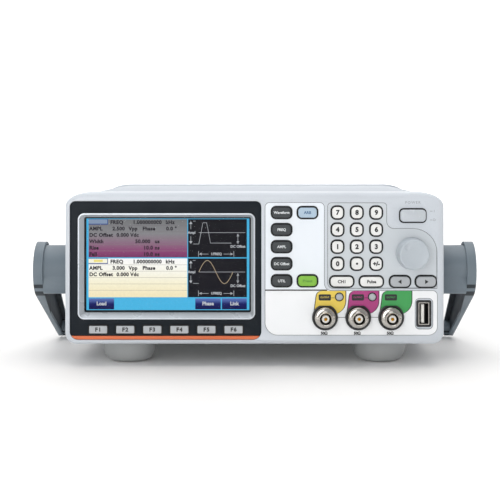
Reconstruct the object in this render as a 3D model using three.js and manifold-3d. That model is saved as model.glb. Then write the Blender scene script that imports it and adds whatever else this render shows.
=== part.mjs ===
// A bench function generator in a bench case: a moulded front with a display, 32 keys, an adjusting knob,
// three BNC sockets and a USB socket, a wrapped metal cover, a fan, a mains inlet, and a carrying handle that
// swings on two pivots near the front. Millimetres, +Z up, the front faces -Y, the origin is on the surface that
// the feet stand on, under the middle of the whole object.
import * as THREE from "three";
import { mergeVertices } from "three/addons/utils/BufferGeometryUtils.js";
import Module from "manifold-3d";

const wasm = await Module();
wasm.setup();

// ---- Driving dimensions ----------------------------------------------------------------------------------
const caseWidth = 267;
const caseHeight = 107;
const caseDepth = 270; // front face to the back of the rear frame, without the bumpers
const footHeight = 16; // clearance under the case
const knobReach = 16; // how far the knob stands in front of the face
const bumperReach = 7; // how far the rear bumpers stand behind the case
const gap = 0.3; // between pieces that touch on the real object
const bezelDepth = 22;
const bezelWall = 2.5;
const coverSheet = 1.5;
const chassisSheet = 1.2;
const rearFrameFront = 248;
const pocketDepth = 0.6;

const caseBottom = footHeight;
const caseTop = caseBottom + caseHeight;
const halfWidth = caseWidth / 2;
const frontY = knobReach - (knobReach + caseDepth + bumperReach) / 2;

// ---- Materials -------------------------------------------------------------------------------------------
const finish = (color, roughness, metalness = 0) =>
  new THREE.MeshStandardMaterial({ color, roughness, metalness });
const lightPlastic = finish(0xd0d5da, 0.5);
const coverPaint = finish(0xd3dae2, 0.45, 0.1);
const darkPlastic = finish(0x2a3038, 0.5);
const orangePlastic = finish(0xe2764a, 0.5);
const silverPlastic = finish(0xb9bcbd, 0.35, 0.4);
const clearPlastic = finish(0xe8f0f4, 0.1);
const screenGlass = finish(0x4db8e8, 0.3);
const whiteRubber = finish(0xf2f1ee, 0.6);
const greyRubber = finish(0xb4b6b8, 0.6);
const charcoalRubber = finish(0x4a4f52, 0.6);
const blueRubber = finish(0xb6c9d8, 0.5);
const greenRubber = finish(0x86c04a, 0.5);
const knobPlastic = finish(0xb6bdc5, 0.45);
const handlePlastic = finish(0x6f7c85, 0.5);
const footPlastic = finish(0x8c908f, 0.6);
const nickel = finish(0xb8b4ac, 0.25, 1);
const zincSteel = finish(0xb4b8ba, 0.4, 1);
const boardGreen = finish(0x1f5a3a, 0.6);
const blackPlastic = finish(0x1b1c1e, 0.5);

// ---- Making and placing pieces ---------------------------------------------------------------------------
const instrument = new THREE.Group();
instrument.position.y = frontY; // inside this group, y is the depth behind the front face

function place(name, geometry, material, x = 0, y = 0, z = 0, parent = instrument) {
  const mesh = new THREE.Mesh(geometry, material);
  mesh.name = name;
  mesh.position.set(x, y, z);
  parent.add(mesh);
  return mesh;
}

// A closed geometry as a solid that can be cut and joined, and back again.
function solid(geometry) {
  const bare = geometry.clone();
  bare.deleteAttribute("normal");
  bare.deleteAttribute("uv");
  const merged = mergeVertices(bare, 1e-4);
  const vertProperties = merged.attributes.position.array;
  const triVerts = new Uint32Array(merged.index.array);
  return new wasm.Manifold(new wasm.Mesh({ numProp: 3, vertProperties, triVerts }));
}

function geometryOf(manifold) {
  const mesh = manifold.getMesh();
  const geometry = new THREE.BufferGeometry();
  geometry.setAttribute("position", new THREE.BufferAttribute(mesh.vertProperties, 3));
  geometry.setIndex(new THREE.BufferAttribute(mesh.triVerts, 1));
  return geometry;
}

const join = (...geometries) => geometryOf(geometries.map(solid).reduce((a, b) => a.add(b)));
const cut = (geometry, ...tools) =>
  geometryOf(tools.map(solid).reduce((left, tool) => left.subtract(tool), solid(geometry)));
const overlap = (a, b) => geometryOf(solid(a).intersect(solid(b)));

// ---- Outlines and simple bodies --------------------------------------------------------------------------
// A rectangle with round corners: top left, top right, bottom right, bottom left. A radius may be a pair, along x
// and along y.
function roundRect(left, right, bottom, top, radii, shape = new THREE.Shape()) {
  const corners = Array.isArray(radii) ? radii : Array(4).fill(radii);
  const [topLeft, topRight, bottomRight, bottomLeft] = corners.map((r) => (Array.isArray(r) ? r : [r, r]));
  const corner = (x, y, [rx, ry], from) => {
    const centreX = x === left ? x + rx : x - rx;
    const centreY = y === bottom ? y + ry : y - ry;
    if (rx === 0) shape.lineTo(x, y);
    else shape.absellipse(centreX, centreY, rx, ry, from, from + Math.PI / 2, false, 0);
  };
  shape.moveTo(left + bottomLeft[0], bottom);
  corner(right, bottom, bottomRight, -Math.PI / 2);
  corner(right, top, topRight, 0);
  corner(left, top, topLeft, Math.PI / 2);
  corner(left, bottom, bottomLeft, Math.PI);
  return shape;
}

const centredRect = (x, z, width, height, radius, shape) =>
  roundRect(x - width / 2, x + width / 2, z - height / 2, z + height / 2, radius, shape);

const disc = (x, z, radius, shape = new THREE.Shape()) => shape.absarc(x, z, radius, 0, 2 * Math.PI, false);

// The outline that runs round circles [x, y, radius], given anticlockwise, and along their outer tangents.
function roundCircles(circles) {
  const shape = new THREE.Shape();
  const count = circles.length;
  const tangent = circles.map(([x, y, r], i) => {
    const [nextX, nextY, nextR] = circles[(i + 1) % count];
    const length = Math.hypot(nextX - x, nextY - y);
    return Math.atan2(nextY - y, nextX - x) - Math.PI / 2 + Math.asin((r - nextR) / length);
  });
  circles.forEach(([x, y, r], i) => {
    shape.absarc(x, y, r, tangent[(i + count - 1) % count], tangent[i], false);
  });
  return shape;
}

// An outline drawn in X and Z, extruded from depth y0 back to y1.
function slab(shape, y0, y1, curveSegments = 4) {
  const geometry = new THREE.ExtrudeGeometry(shape, { depth: y1 - y0, bevelEnabled: false, curveSegments });
  return geometry.rotateX(Math.PI / 2).translate(0, y1, 0);
}

// An outline drawn in Y and Z, extruded along X from x0 to x1.
const alongX = new THREE.Matrix4().makeBasis(
  new THREE.Vector3(0, 1, 0),
  new THREE.Vector3(0, 0, 1),
  new THREE.Vector3(1, 0, 0),
);
function sideSlab(shape, x0, x1, curveSegments = 5) {
  const geometry = new THREE.ExtrudeGeometry(shape, { depth: x1 - x0, bevelEnabled: false, curveSegments });
  return geometry.applyMatrix4(alongX).translate(x0, 0, 0);
}

function block(x0, x1, y0, y1, z0, z1) {
  const geometry = new THREE.BoxGeometry(x1 - x0, y1 - y0, z1 - z0);
  return geometry.translate((x0 + x1) / 2, (y0 + y1) / 2, (z0 + z1) / 2);
}

const rodAlongX = (x0, x1, y, z, radius, sides = 24) =>
  new THREE.CylinderGeometry(radius, radius, x1 - x0, sides)
    .rotateZ(Math.PI / 2)
    .translate((x0 + x1) / 2, y, z);
const rodAlongY = (y0, y1, x, z, radius, sides = 24) =>
  new THREE.CylinderGeometry(radius, radius, y1 - y0, sides).translate(x, (y0 + y1) / 2, z);
const rodAlongZ = (z0, z1, x, y, radius, sides = 12) =>
  new THREE.CylinderGeometry(radius, radius, z1 - z0, sides)
    .rotateX(Math.PI / 2)
    .translate(x, y, (z0 + z1) / 2);

// A turned piece: points are [radius, height], from the lowest on the axis to the highest on the axis.
const turned = (points, sides) =>
  new THREE.LatheGeometry(
    points.map(([r, h]) => new THREE.Vector2(r, h)),
    sides,
  );

// The case's cross-section: wide flat curves at the top corners and small round ones at the bottom.
const topCorner = [18, 10];
const bottomCorner = 8;
function caseOutline(inset, shape) {
  const top = [topCorner[0] - inset, topCorner[1] - inset];
  const bottom = bottomCorner - inset;
  const edges = [-halfWidth + inset, halfWidth - inset, caseBottom + inset, caseTop - inset];
  return roundRect(...edges, [top, top, bottom, bottom], shape);
}

// ---- Keys ------------------------------------------------------------------------------------------------
// Every key is a cap that stands through a hole in the front, with a flange behind the panel that keeps it in.
const keyGap = 0.8; // between a cap and its hole
const flangeLap = 0.7; // how far a flange reaches past its hole
const flangeFront = 3.3;
const flangeThickness = 1.5;

// Outlines that grow by a margin: with equal corners, and with corners drawn up the ends so that those look bowed.
const rectCap = (width, height, radius) => (margin, shape) =>
  centredRect(0, 0, width + 2 * margin, height + 2 * margin, radius + margin, shape);
const bowedCap = (width, height) => (margin, shape) => {
  const radii = Array(4).fill([2.2 + margin, 3.8 + margin]);
  return centredRect(0, 0, width + 2 * margin, height + 2 * margin, radii, shape);
};

const capKinds = {
  soft: { outline: rectCap(13.1, 5.7, 0.9), front: -1.0, material: greyRubber },
  menu: { outline: rectCap(13.3, 7.4, 2.6), front: -2.0, material: charcoalRubber },
  arb: { outline: rectCap(13.3, 7.4, 2.6), front: -2.0, material: blueRubber },
  preset: { outline: rectCap(13.3, 7.4, 2.6), front: -2.0, material: greenRubber },
  digit: { outline: rectCap(7.9, 8.2, 2.9), front: -2.0, material: whiteRubber },
  wide: { outline: rectCap(16, 7, 2.8), front: -2.0, material: whiteRubber },
  arrow: { outline: rectCap(14, 7.4, 3.1), front: -2.0, material: greyRubber },
  power: { outline: bowedCap(18, 9), front: -3.6, material: greyRubber },
  output: { outline: (margin, shape) => disc(0, 0, 2.4 + margin, shape), front: -1.5, material: greyRubber },
};

const topRow = 108.7;
const rowPitch = 12;
const row = (n) => topRow - n * rowPitch;
const softKeyPitch = 19.04;
const keys = [];
for (let n = 0; n < 6; n++) keys.push([`key_f${n + 1}`, "soft", -109.9 + n * softKeyPitch, 26.4]);
["waveform", "frequency", "amplitude", "offset", "utility"].forEach((label, n) =>
  keys.push([`key_${label}`, "menu", 19.1, row(n)]),
);
keys.push(["key_arbitrary", "arb", 37.3, row(0)], ["key_preset", "preset", 37.3, row(4)]);
const digitPitch = 13.6;
const digits = [["7", "8", "9"], ["4", "5", "6"], ["1", "2", "3"], ["0", "point", "sign"]];
digits.forEach((line, n) =>
  line.forEach((label, column) => keys.push([`key_${label}`, "digit", 58.4 + column * digitPitch, row(n)])),
);
const lowRow = 60.2;
keys.push(["key_channel", "wide", 61.4, lowRow], ["key_pulse", "wide", 82.2, lowRow]);
keys.push(["key_left", "arrow", 102.4, lowRow], ["key_right", "arrow", 120.6, lowRow]);
const outputRow = 49.35;
keys.push(["output_button_1", "output", 59.7, outputRow], ["output_button_2", "output", 82.9, outputRow]);
keys.push(["power_button", "power", 111.4, 106.6]);

const cornerSegments = (kind) => (kind === "output" ? 6 : 2);
for (const [name, kind, x, z] of keys) {
  const { outline, front, material } = capKinds[kind];
  const flangeBack = flangeFront + flangeThickness;
  const cap = slab(outline(0), front, flangeBack, cornerSegments(kind));
  const flange = slab(outline(keyGap + flangeLap), flangeFront, flangeBack, cornerSegments(kind));
  place(name, join(cap, flange), material, x, 0, z);
}
const keyHoles = (wanted, y0, y1) =>
  keys
    .filter(([, kind]) => wanted(kind))
    .map(([, kind, x, z]) => slab(capKinds[kind].outline(keyGap), y0, y1, cornerSegments(kind)).translate(x, 0, z));

// ---- Front sockets and knob, placed once here because the panel and the board are cut for them -------------
const bncRow = 35.8;
const bncPlaces = { bnc_channel_1: 49.6, bnc_pulse: 72.9, bnc_radio_frequency: 96.1 };
const bncNeck = 6;
const socketBack = 16; // how far the front sockets reach behind the front face
const knobX = 110.8;
const knobZ = 80;
const shaftRadius = 3;
const usbX = 119.3;
const usbZ = 37.5;
const usbWidth = 7.4;
const usbHeight = 15.6;
const usbRecess = [12.2, 21.4, 3]; // width, height and corner radius
const usbRecessStep = 0.8; // how far the recess lies below the pocket

// ---- Front bezel -----------------------------------------------------------------------------------------
// A moulded shell, open at the back, with an opening for the display fascia and shallow pockets for the labels.
const fasciaEdges = [-130.1, 4.9, 19.1, 116.8];
const fasciaCorners = [4, 4, 6, 6];
const edgeRound = 3;
const bezelBlank = new THREE.ExtrudeGeometry(caseOutline(0), {
  depth: bezelDepth,
  bevelThickness: edgeRound,
  bevelSize: edgeRound,
  bevelOffset: -edgeRound,
  bevelSegments: 2,
  curveSegments: 5,
});
bezelBlank.rotateX(Math.PI / 2).translate(0, bezelDepth + edgeRound, 0);

// Carries an outline round the corner at (x, z), whose centre lies inwards by the radius. An outer corner starts at
// that quarter of the circle; an inner one ends there.
function turnCorner(outline, x, z, inX, inZ, radius, quarter, inner = false) {
  const start = (quarter * Math.PI) / 2;
  const quarterTurn = inner ? -Math.PI / 2 : Math.PI / 2;
  outline.absarc(x + inX * radius, z + inZ * radius, radius, start, start + quarterTurn, inner);
}

// The label pocket is a panel beside the display that runs on as a band below the keypad pocket.
const labelLeft = 7.3;
const labelRight = 49.3;
const labelTop = 115.9;
const labelTopRadius = 3.3;
const bandRight = 128.9;
const bandBottom = 22.3;
const bandTop = 53.9;
const bandLeftRadius = 9;
const bandLowRadius = 6.3;
const bandHighRadius = 3.5;
const shoulderRadius = 5; // where a pocket's outline turns inwards
const labelPocket = new THREE.Shape();
labelPocket.moveTo(labelLeft, bandBottom + bandLeftRadius);
turnCorner(labelPocket, labelLeft, bandBottom, 1, 1, bandLeftRadius, 2);
turnCorner(labelPocket, bandRight, bandBottom, -1, 1, bandLowRadius, 3);
turnCorner(labelPocket, bandRight, bandTop, -1, -1, bandHighRadius, 0);
turnCorner(labelPocket, labelRight, bandTop, 1, 1, shoulderRadius, 3, true);
turnCorner(labelPocket, labelRight, labelTop, -1, -1, labelTopRadius, 0);
turnCorner(labelPocket, labelLeft, labelTop, 1, -1, labelTopRadius, 1);

// The keypad pocket steps down beside the power button and sweeps round the knob.
const keypadLeft = 51.4;
const keypadRight = 128.6;
const keypadBottom = 55.2;
const keypadTop = 115.7;
const keypadRadius = 2.6;
const keypadLowRadius = 4;
const stepX = 93.2;
const stepZ = 97.6;
const sweepRadius = 17;
const keypadPocket = new THREE.Shape();
keypadPocket.moveTo(keypadLeft + keypadLowRadius, keypadBottom);
keypadPocket.lineTo(keypadRight, keypadBottom);
turnCorner(keypadPocket, keypadRight, stepZ, -1, -1, sweepRadius, 0);
turnCorner(keypadPocket, stepX, stepZ, 1, 1, shoulderRadius, 3, true);
turnCorner(keypadPocket, stepX, keypadTop, -1, -1, keypadRadius, 0);
turnCorner(keypadPocket, keypadLeft, keypadTop, 1, -1, keypadRadius, 1);
turnCorner(keypadPocket, keypadLeft, keypadBottom, 1, 1, keypadLowRadius, 2);

const beyond = 1; // how far cutting bodies run past what they cut
place(
  "front_bezel",
  cut(
    bezelBlank,
    block(-halfWidth - 1, halfWidth + 1, bezelDepth, bezelDepth + 2 * edgeRound + 1, 0, caseTop + 1),
    slab(caseOutline(bezelWall), bezelWall, bezelDepth + beyond),
    slab(roundRect(...fasciaEdges, fasciaCorners), -beyond, bezelWall + beyond),
    slab(labelPocket, -beyond, pocketDepth),
    slab(keypadPocket, -beyond, pocketDepth),
    ...keyHoles((kind) => kind !== "soft", -beyond, bezelWall + beyond),
    ...Object.values(bncPlaces).map((x) =>
      rodAlongY(-beyond, bezelWall + beyond, x, bncRow, bncNeck + 0.4, 16),
    ),
    rodAlongY(-beyond, bezelWall + beyond, knobX, knobZ, shaftRadius + 1, 12),
    slab(centredRect(usbX, usbZ, usbWidth + 0.8, usbHeight + 0.8, 0), -beyond, bezelWall + beyond),
    slab(centredRect(usbX, usbZ, ...usbRecess), -beyond, pocketDepth + usbRecessStep, 3),
  ),
  lightPlastic,
);

// ---- Display fascia, accent strip, frame, window and module ------------------------------------------------
const fasciaFit = 0.25;
const [fasciaLeft, fasciaRight, fasciaBottom, fasciaTop] = fasciaEdges;
const fasciaOutline = () =>
  roundRect(
    fasciaLeft + fasciaFit,
    fasciaRight - fasciaFit,
    fasciaBottom + fasciaFit,
    fasciaTop - fasciaFit,
    fasciaCorners.map((radius) => radius - fasciaFit),
  );
const stripTop = 22;
const displayOpening = [-119.8, -2.4, 38.5, 105.6];
const openingCorner = 1.5;
place(
  "display_fascia",
  cut(
    slab(fasciaOutline(), gap, bezelWall + gap),
    block(-halfWidth, 20, -beyond, bezelWall + beyond, 0, stripTop + gap / 2),
    slab(roundRect(...displayOpening, openingCorner), -beyond, bezelWall + beyond, 3),
    ...keyHoles((kind) => kind === "soft", -beyond, bezelWall + beyond),
  ),
  darkPlastic,
);
place(
  "accent_strip",
  overlap(slab(fasciaOutline(), 0.2, bezelWall), block(-halfWidth, 20, -beyond, 5, 0, stripTop - gap / 2)),
  orangePlastic,
);
const frameEdges = [-124.2, 0.5, 33.6, 108.3];
const frameCorner = 4.6;
const frameDepth = 1.8;
const displayFrame = roundRect(...frameEdges, frameCorner);
displayFrame.holes.push(roundRect(...displayOpening, openingCorner, new THREE.Path()));
place("display_frame", slab(displayFrame, -frameDepth, 0), silverPlastic);

// The window overlaps the opening by a rim, and the module behind it is a little wider still.
const windowRim = 1.5;
const windowBack = bezelWall + 1.6;
const moduleFront = windowBack + gap;
const moduleDepth = 6;
const [openingLeft, openingRight, openingBottom, openingTop] = displayOpening;
place(
  "display_window",
  block(
    openingLeft - windowRim,
    openingRight + windowRim,
    bezelWall + 2 * gap,
    windowBack,
    openingBottom - windowRim,
    openingTop + windowRim,
  ),
  clearPlastic,
);
const moduleEdges = [-123.5, 0.6, moduleFront, moduleFront + moduleDepth, 35, 109];
place("lcd_module", block(...moduleEdges), screenGlass);

// ---- Adjusting knob --------------------------------------------------------------------------------------
// A finger knob in one piece with its shaft, with a dimple near the rim of its face.
const shaftEnd = 14;
const skirtRadius = 11.4;
const gripRadius = 10.8;
const knobProfile = [
  [0, -shaftEnd],
  [shaftRadius, -shaftEnd],
  [shaftRadius, -0.2],
  [skirtRadius, -0.2],
  [skirtRadius, 1.2],
  [skirtRadius - 0.4, 1.8],
  [gripRadius, knobReach - 1.2],
  [gripRadius - 1, knobReach],
  [0, knobReach],
];
const knobBlank = turned(knobProfile, 28).rotateX(Math.PI);
const dimpleOffset = 4.7; // to the left and up from the knob's middle
const dimple = new THREE.SphereGeometry(3.6, 12, 8).translate(-dimpleOffset, -knobReach - 2.4, dimpleOffset);
place("adjusting_knob", cut(knobBlank, dimple), knobPlastic, knobX, 0, knobZ);

// ---- BNC sockets -----------------------------------------------------------------------------------------
// A black collar against the panel, a bayonet barrel with two lugs round an insulated contact, and a body behind.
function bncSocket() {
  const collarFront = -1.9;
  const nutFront = -4.2;
  const barrelEnd = -13;
  const cavityFloor = -4;
  const collarRadius = 9.1;
  const collarFlat = 8.3; // height of the flat above the middle
  const nutRadius = 7.2;
  const barrelRadius = 4.85;
  const barrelWall = 0.8;
  const insulatorRadius = 2.4;
  const lugReach = 5.6;
  const lugPlace = -10.2;
  const outside = join(
    rodAlongY(collarFront, pocketDepth - gap, 0, 0, collarRadius, 20),
    rodAlongY(nutFront, 0, 0, 0, nutRadius, 20),
    rodAlongY(barrelEnd, 0, 0, 0, barrelRadius, 20),
    rodAlongY(pocketDepth - 2 * gap, socketBack, 0, 0, bncNeck, 16),
    rodAlongX(-lugReach, lugReach, lugPlace, 0, 1, 8),
  );
  const cavity = cut(
    rodAlongY(barrelEnd - beyond, cavityFloor, 0, 0, barrelRadius - barrelWall, 20),
    rodAlongY(barrelEnd + 1, cavityFloor + beyond, 0, 0, insulatorRadius, 12),
  );
  return cut(outside, cavity, block(-10, 10, -3, 1, collarFlat, 10));
}
for (const [name, x] of Object.entries(bncPlaces)) place(name, bncSocket(), nickel, x, 0, bncRow);

// ---- USB socket ------------------------------------------------------------------------------------------
const usbMouth = 1;
place(
  "usb_socket",
  cut(
    block(-usbWidth / 2, usbWidth / 2, usbMouth, socketBack, -usbHeight / 2, usbHeight / 2),
    block(-2.75, 2.75, usbMouth - beyond, socketBack - 3, -6.5, 6.5),
  ),
  zincSteel,
  usbX,
  0,
  usbZ,
);

// ---- Front board -----------------------------------------------------------------------------------------
// One board behind all the keys, with a tongue that runs under the display behind the soft keys.
const boardFront = 11;
const boardThickness = 1.6;
const frontBoard = new THREE.Shape();
const [boardLeft, boardRight, boardBottom, boardTop] = [-127, 128, 20, 112];
const tongueTop = 33;
const displaySide = 4;
frontBoard.moveTo(boardLeft, boardBottom);
frontBoard.lineTo(boardRight, boardBottom);
frontBoard.lineTo(boardRight, boardTop);
frontBoard.lineTo(displaySide, boardTop);
frontBoard.lineTo(displaySide, tongueTop);
frontBoard.lineTo(boardLeft, tongueTop);
for (const x of Object.values(bncPlaces)) {
  frontBoard.holes.push(disc(x, bncRow, bncNeck + 0.5, new THREE.Path()));
}
frontBoard.holes.push(disc(knobX, knobZ, shaftRadius + 0.5, new THREE.Path()));
frontBoard.holes.push(centredRect(usbX, usbZ, usbWidth + 1, usbHeight + 1, 0, new THREE.Path()));
place("front_board", slab(frontBoard, boardFront, boardFront + boardThickness, 4), boardGreen);

// ---- Handle pivot ----------------------------------------------------------------------------------------
const hubY = 50;
const hubZ = 64.6;
const bossRadius = 14;
const studRadius = 8.2;
const studEnd = 154;

// ---- Top cover -------------------------------------------------------------------------------------------
// One sheet wrapped over the top and sides and turned in under the bottom edges.
const coverStep = 0.6; // how far the cover lies inside the bezel's outline
const coverHalf = halfWidth - coverStep;
const coverCorner = [22, 11];
const coverLip = 118;
const coverEdges = (inset) => [
  -coverHalf + inset,
  coverHalf - inset,
  caseBottom + coverStep + inset,
  caseTop - coverStep - inset,
];
const coverRadii = (inset) => {
  const top = [coverCorner[0] - inset, coverCorner[1] - inset];
  return [top, top, bottomCorner - inset, bottomCorner - inset];
};
const coverSection = roundRect(...coverEdges(0), coverRadii(0));
coverSection.holes.push(roundRect(...coverEdges(coverSheet), coverRadii(coverSheet), new THREE.Path()));
place(
  "top_cover",
  cut(
    slab(coverSection, bezelDepth + gap, rearFrameFront - gap, 6),
    block(-coverLip, coverLip, 0, caseDepth, caseBottom - 1, caseBottom + 6),
    rodAlongX(halfWidth - 6, halfWidth + 6, hubY, hubZ, bossRadius + 0.6),
    rodAlongX(-halfWidth - 6, -halfWidth + 6, hubY, hubZ, bossRadius + 0.6),
  ),
  coverPaint,
);

// ---- Bottom chassis --------------------------------------------------------------------------------------
// A folded tray with inner side walls, board posts, and a boss and stud on each side for the handle.
const trayInset = coverSheet + gap;
const wallInside = coverHalf - trayInset - chassisSheet;
const trayBottom = caseBottom + 2.4;
const trayTop = trayBottom + chassisSheet;
const trayFront = bezelDepth + 2 * gap;
const trayBack = rearFrameFront - 2 * gap;
const mainBoardBottom = 26;
const supplyBoardBottom = 24;
const wallHeight = 84;
const bossEnd = halfWidth + 0.8;
const traySection = roundRect(...coverEdges(trayInset), coverRadii(trayInset));
traySection.holes.push(
  roundRect(...coverEdges(trayInset + chassisSheet), coverRadii(trayInset + chassisSheet), new THREE.Path()),
);
const aboveWalls = block(-halfWidth, halfWidth, 0, caseDepth, trayBottom + wallHeight, caseTop + beyond);
const tray = [cut(slab(traySection, trayFront, trayBack, 6), aboveWalls)];
for (const side of [-1, 1]) {
  const span = (inner, outer) => (side > 0 ? [inner, outer] : [-outer, -inner]);
  tray.push(rodAlongX(...span(wallInside, bossEnd), hubY, hubZ, bossRadius));
  tray.push(rodAlongX(...span(halfWidth, studEnd), hubY, hubZ, studRadius));
}
const mainPosts = [[-117, 42], [-117, 206], [38, 42], [38, 206]];
for (const [x, y] of mainPosts) tray.push(rodAlongZ(trayTop - beyond, mainBoardBottom - gap, x, y, 3));
const supplyPosts = [[60, 112], [60, 222], [120, 112], [120, 222]];
for (const [x, y] of supplyPosts) tray.push(rodAlongZ(trayTop - beyond, supplyBoardBottom - gap, x, y, 3));
place("bottom_chassis", join(...tray), zincSteel);

// ---- Rear frame and rear panel -----------------------------------------------------------------------------
const rimBack = caseDepth;
const lipFront = caseDepth - 4;
const rearRing = caseOutline(0);
rearRing.holes.push(caseOutline(3, new THREE.Path()));
const rearLip = caseOutline(1);
rearLip.holes.push(roundRect(-112, 112, 22, 117, 6, new THREE.Path()));
const bumperX = 121;
const bumperRadius = 7;
const bumpers = [];
for (const x of [-bumperX, bumperX]) {
  for (const z of [26, 110]) {
    bumpers.push(rodAlongY(lipFront + 1, caseDepth + bumperReach, x, z, bumperRadius, 20));
  }
}
place(
  "rear_frame",
  join(slab(rearRing, rearFrameFront, rimBack), slab(rearLip, lipFront, rimBack), ...bumpers),
  lightPlastic,
);

const fanX = -76;
const fanZ = 70;
const fanBore = 28;
const inletX = 82;
const inletZ = 45;
const panelSheet = 1.5;
const panelFront = lipFront - gap - panelSheet;
const rearSheet = caseOutline(3 + gap);
rearSheet.holes.push(disc(fanX, fanZ, fanBore - 1, new THREE.Path()));
rearSheet.holes.push(centredRect(inletX, inletZ, 28, 20.5, 0, new THREE.Path()));
place("rear_panel", slab(rearSheet, panelFront, panelFront + panelSheet), zincSteel);

// ---- Mains inlet -----------------------------------------------------------------------------------------
const inletBack = panelFront + panelSheet + gap;
const inletWall = 1.4;
const mouthHalf = [12.2, 8.4];
const bodyHalf = mouthHalf.map((half) => half + inletWall);
const inletFlangeHalf = [24, 12.5];
const aroundInlet = ([x, z], y0, y1) => block(-x, x, y0, y1, -z, z);
place(
  "mains_inlet",
  cut(
    join(
      aroundInlet(inletFlangeHalf, inletBack, inletBack + 2.5),
      aroundInlet(bodyHalf, inletBack - 22, inletBack + 1),
    ),
    aroundInlet(mouthHalf, inletBack - 14, inletBack + 4),
  ),
  blackPlastic,
  inletX,
  0,
  inletZ,
);

// ---- Fan: a square frame with three struts that carry the motor, and a rotor with seven blades ---------------
const fanSize = 60;
const fanBack = panelFront - gap;
const fanFront = fanBack - 15;
const motorRadius = 12;
const fanFrame = centredRect(fanX, fanZ, fanSize, fanSize, 4);
fanFrame.holes.push(disc(fanX, fanZ, fanBore, new THREE.Path()));
const struts = [0, 1, 2].map((n) =>
  block(0, fanBore + 1, 0, 2, -1.5, 1.5)
    .rotateY((n * 2 * Math.PI) / 3 + 0.3)
    .translate(fanX, fanFront, fanZ),
);
place(
  "fan_frame",
  join(
    slab(fanFrame, fanFront, fanBack, 12),
    rodAlongY(fanFront, fanFront + 2, fanX, fanZ, motorRadius, 20),
    ...struts,
  ),
  blackPlastic,
);
const bladeCount = 7;
const blades = Array.from({ length: bladeCount }, (_, n) =>
  block(motorRadius - 2.5, fanBore - 1.5, -0.7, 0.7, -5, 5)
    .rotateX(0.75)
    .translate(0, 8, 0)
    .rotateY((n * 2 * Math.PI) / bladeCount),
);
place(
  "fan_rotor",
  join(rodAlongY(2.8, 13.5, 0, 0, motorRadius - 0.5, 20), ...blades),
  blackPlastic,
  fanX,
  fanFront,
  fanZ,
);

// ---- Boards inside ---------------------------------------------------------------------------------------
place(
  "main_board",
  join(
    block(-124, 45, 34, 214, mainBoardBottom, mainBoardBottom + boardThickness),
    block(-60, -20, 80, 120, mainBoardBottom + 1, mainBoardBottom + 14),
    block(-110, -75, 60, 110, mainBoardBottom + 1, mainBoardBottom + 6),
    block(0, 32, 50, 82, mainBoardBottom + 1, mainBoardBottom + 5),
    block(-112, -40, 150, 190, mainBoardBottom + 1, mainBoardBottom + 9),
  ),
  boardGreen,
);
place(
  "power_supply",
  join(
    block(52, 126, 105, 229, supplyBoardBottom, supplyBoardBottom + boardThickness),
    block(72, 106, 140, 178, supplyBoardBottom + 1, supplyBoardBottom + 32),
    block(56, 59, 120, 214, supplyBoardBottom + 1, supplyBoardBottom + 38),
    rodAlongZ(supplyBoardBottom + 1, supplyBoardBottom + 34, 90, 200, 11, 16),
    rodAlongZ(supplyBoardBottom + 1, supplyBoardBottom + 22, 112, 122, 7, 14),
    rodAlongZ(supplyBoardBottom + 1, supplyBoardBottom + 22, 95, 122, 7, 14),
  ),
  boardGreen,
);

// ---- Feet ------------------------------------------------------------------------------------------------
// A bowl against the underside, with a neck that reaches up to the tray.
const bowlTop = caseBottom - gap;
const neckRadius = 9;
const neckTop = trayBottom - gap;
const footProfile = [
  [0, 0],
  [12.5, 0],
  [15.6, 1.6],
  [17.8, 5.2],
  [19.1, 10],
  [19.5, bowlTop],
  [neckRadius, bowlTop],
  [neckRadius, neckTop],
  [0, neckTop],
];
const footX = 91;
for (const [label, x] of [["left", -footX], ["right", footX]]) {
  for (const [end, y] of [["front", 34], ["rear", 232]]) {
    const foot = turned(footProfile, 22).rotateX(Math.PI / 2);
    place(`${end}_foot_${label}`, foot, footPlastic, x, y, 0);
  }
}

// ---- Carrying handle -------------------------------------------------------------------------------------
// Each arm is a thin-walled teardrop shell, open towards the case and cut away along its lower edge, with a hollow
// drum, flat in front, that turns on the stud. The arms reach down to the grip, which lies flat under the case
// when stowed.
const webOutside = 161.3;
const webInside = webOutside - 3;
const shellInside = webOutside - 6.8;
const shellWall = 2.2;
const gripY = 148.5;
const gripZ = 8.1;
const armAngle = Math.atan2(hubZ - gripZ, gripY - hubY); // below the horizontal
const armLength = Math.hypot(hubZ - gripZ, gripY - hubY);
const hubRadius = 20.5;
const endRadius = 6.6;
const armOutline = (shrink) =>
  roundCircles([
    [hubY, hubZ, hubRadius - shrink],
    [gripY, gripZ, endRadius - shrink],
  ]);

const shell = sideSlab(armOutline(0), shellInside, webOutside, 10);
const hollow = sideSlab(armOutline(shellWall), shellInside - beyond, webInside, 10);
// The lower wall tapers from the full depth at the drum to a low edge along the rest of the arm.
const taperEnd = 50;
const lowEdge = 0.6;
const taper = new THREE.Shape();
taper.moveTo(0, shellInside - beyond);
taper.lineTo(armLength, shellInside - beyond);
taper.lineTo(armLength, webInside - lowEdge);
taper.lineTo(taperEnd, webInside - lowEdge);
taper.lineTo(0, shellInside);
const taperCut = new THREE.ExtrudeGeometry(taper, { depth: 30, bevelEnabled: false })
  .applyMatrix4(
    new THREE.Matrix4().makeBasis(new THREE.Vector3(0, 1, 0), new THREE.Vector3(1, 0, 0), new THREE.Vector3(0, 0, -1)),
  )
  .translate(0, 0, -4)
  .rotateX(-armAngle)
  .translate(0, hubY, hubZ);
const endInside = shellInside - 4;
const endBlock = rodAlongX(endInside, webInside + beyond, gripY, gripZ, endRadius - 0.6, 20);
const drumStart = halfWidth + 1.3;
const drumRadius = 17.9;
const flatReach = 17.4; // how far the drum's flat front lies before the pivot
const drumFlat = roundRect(hubY - flatReach, hubY, hubZ - 17, hubZ + 4, [0, 0, 0, 5]);
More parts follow.
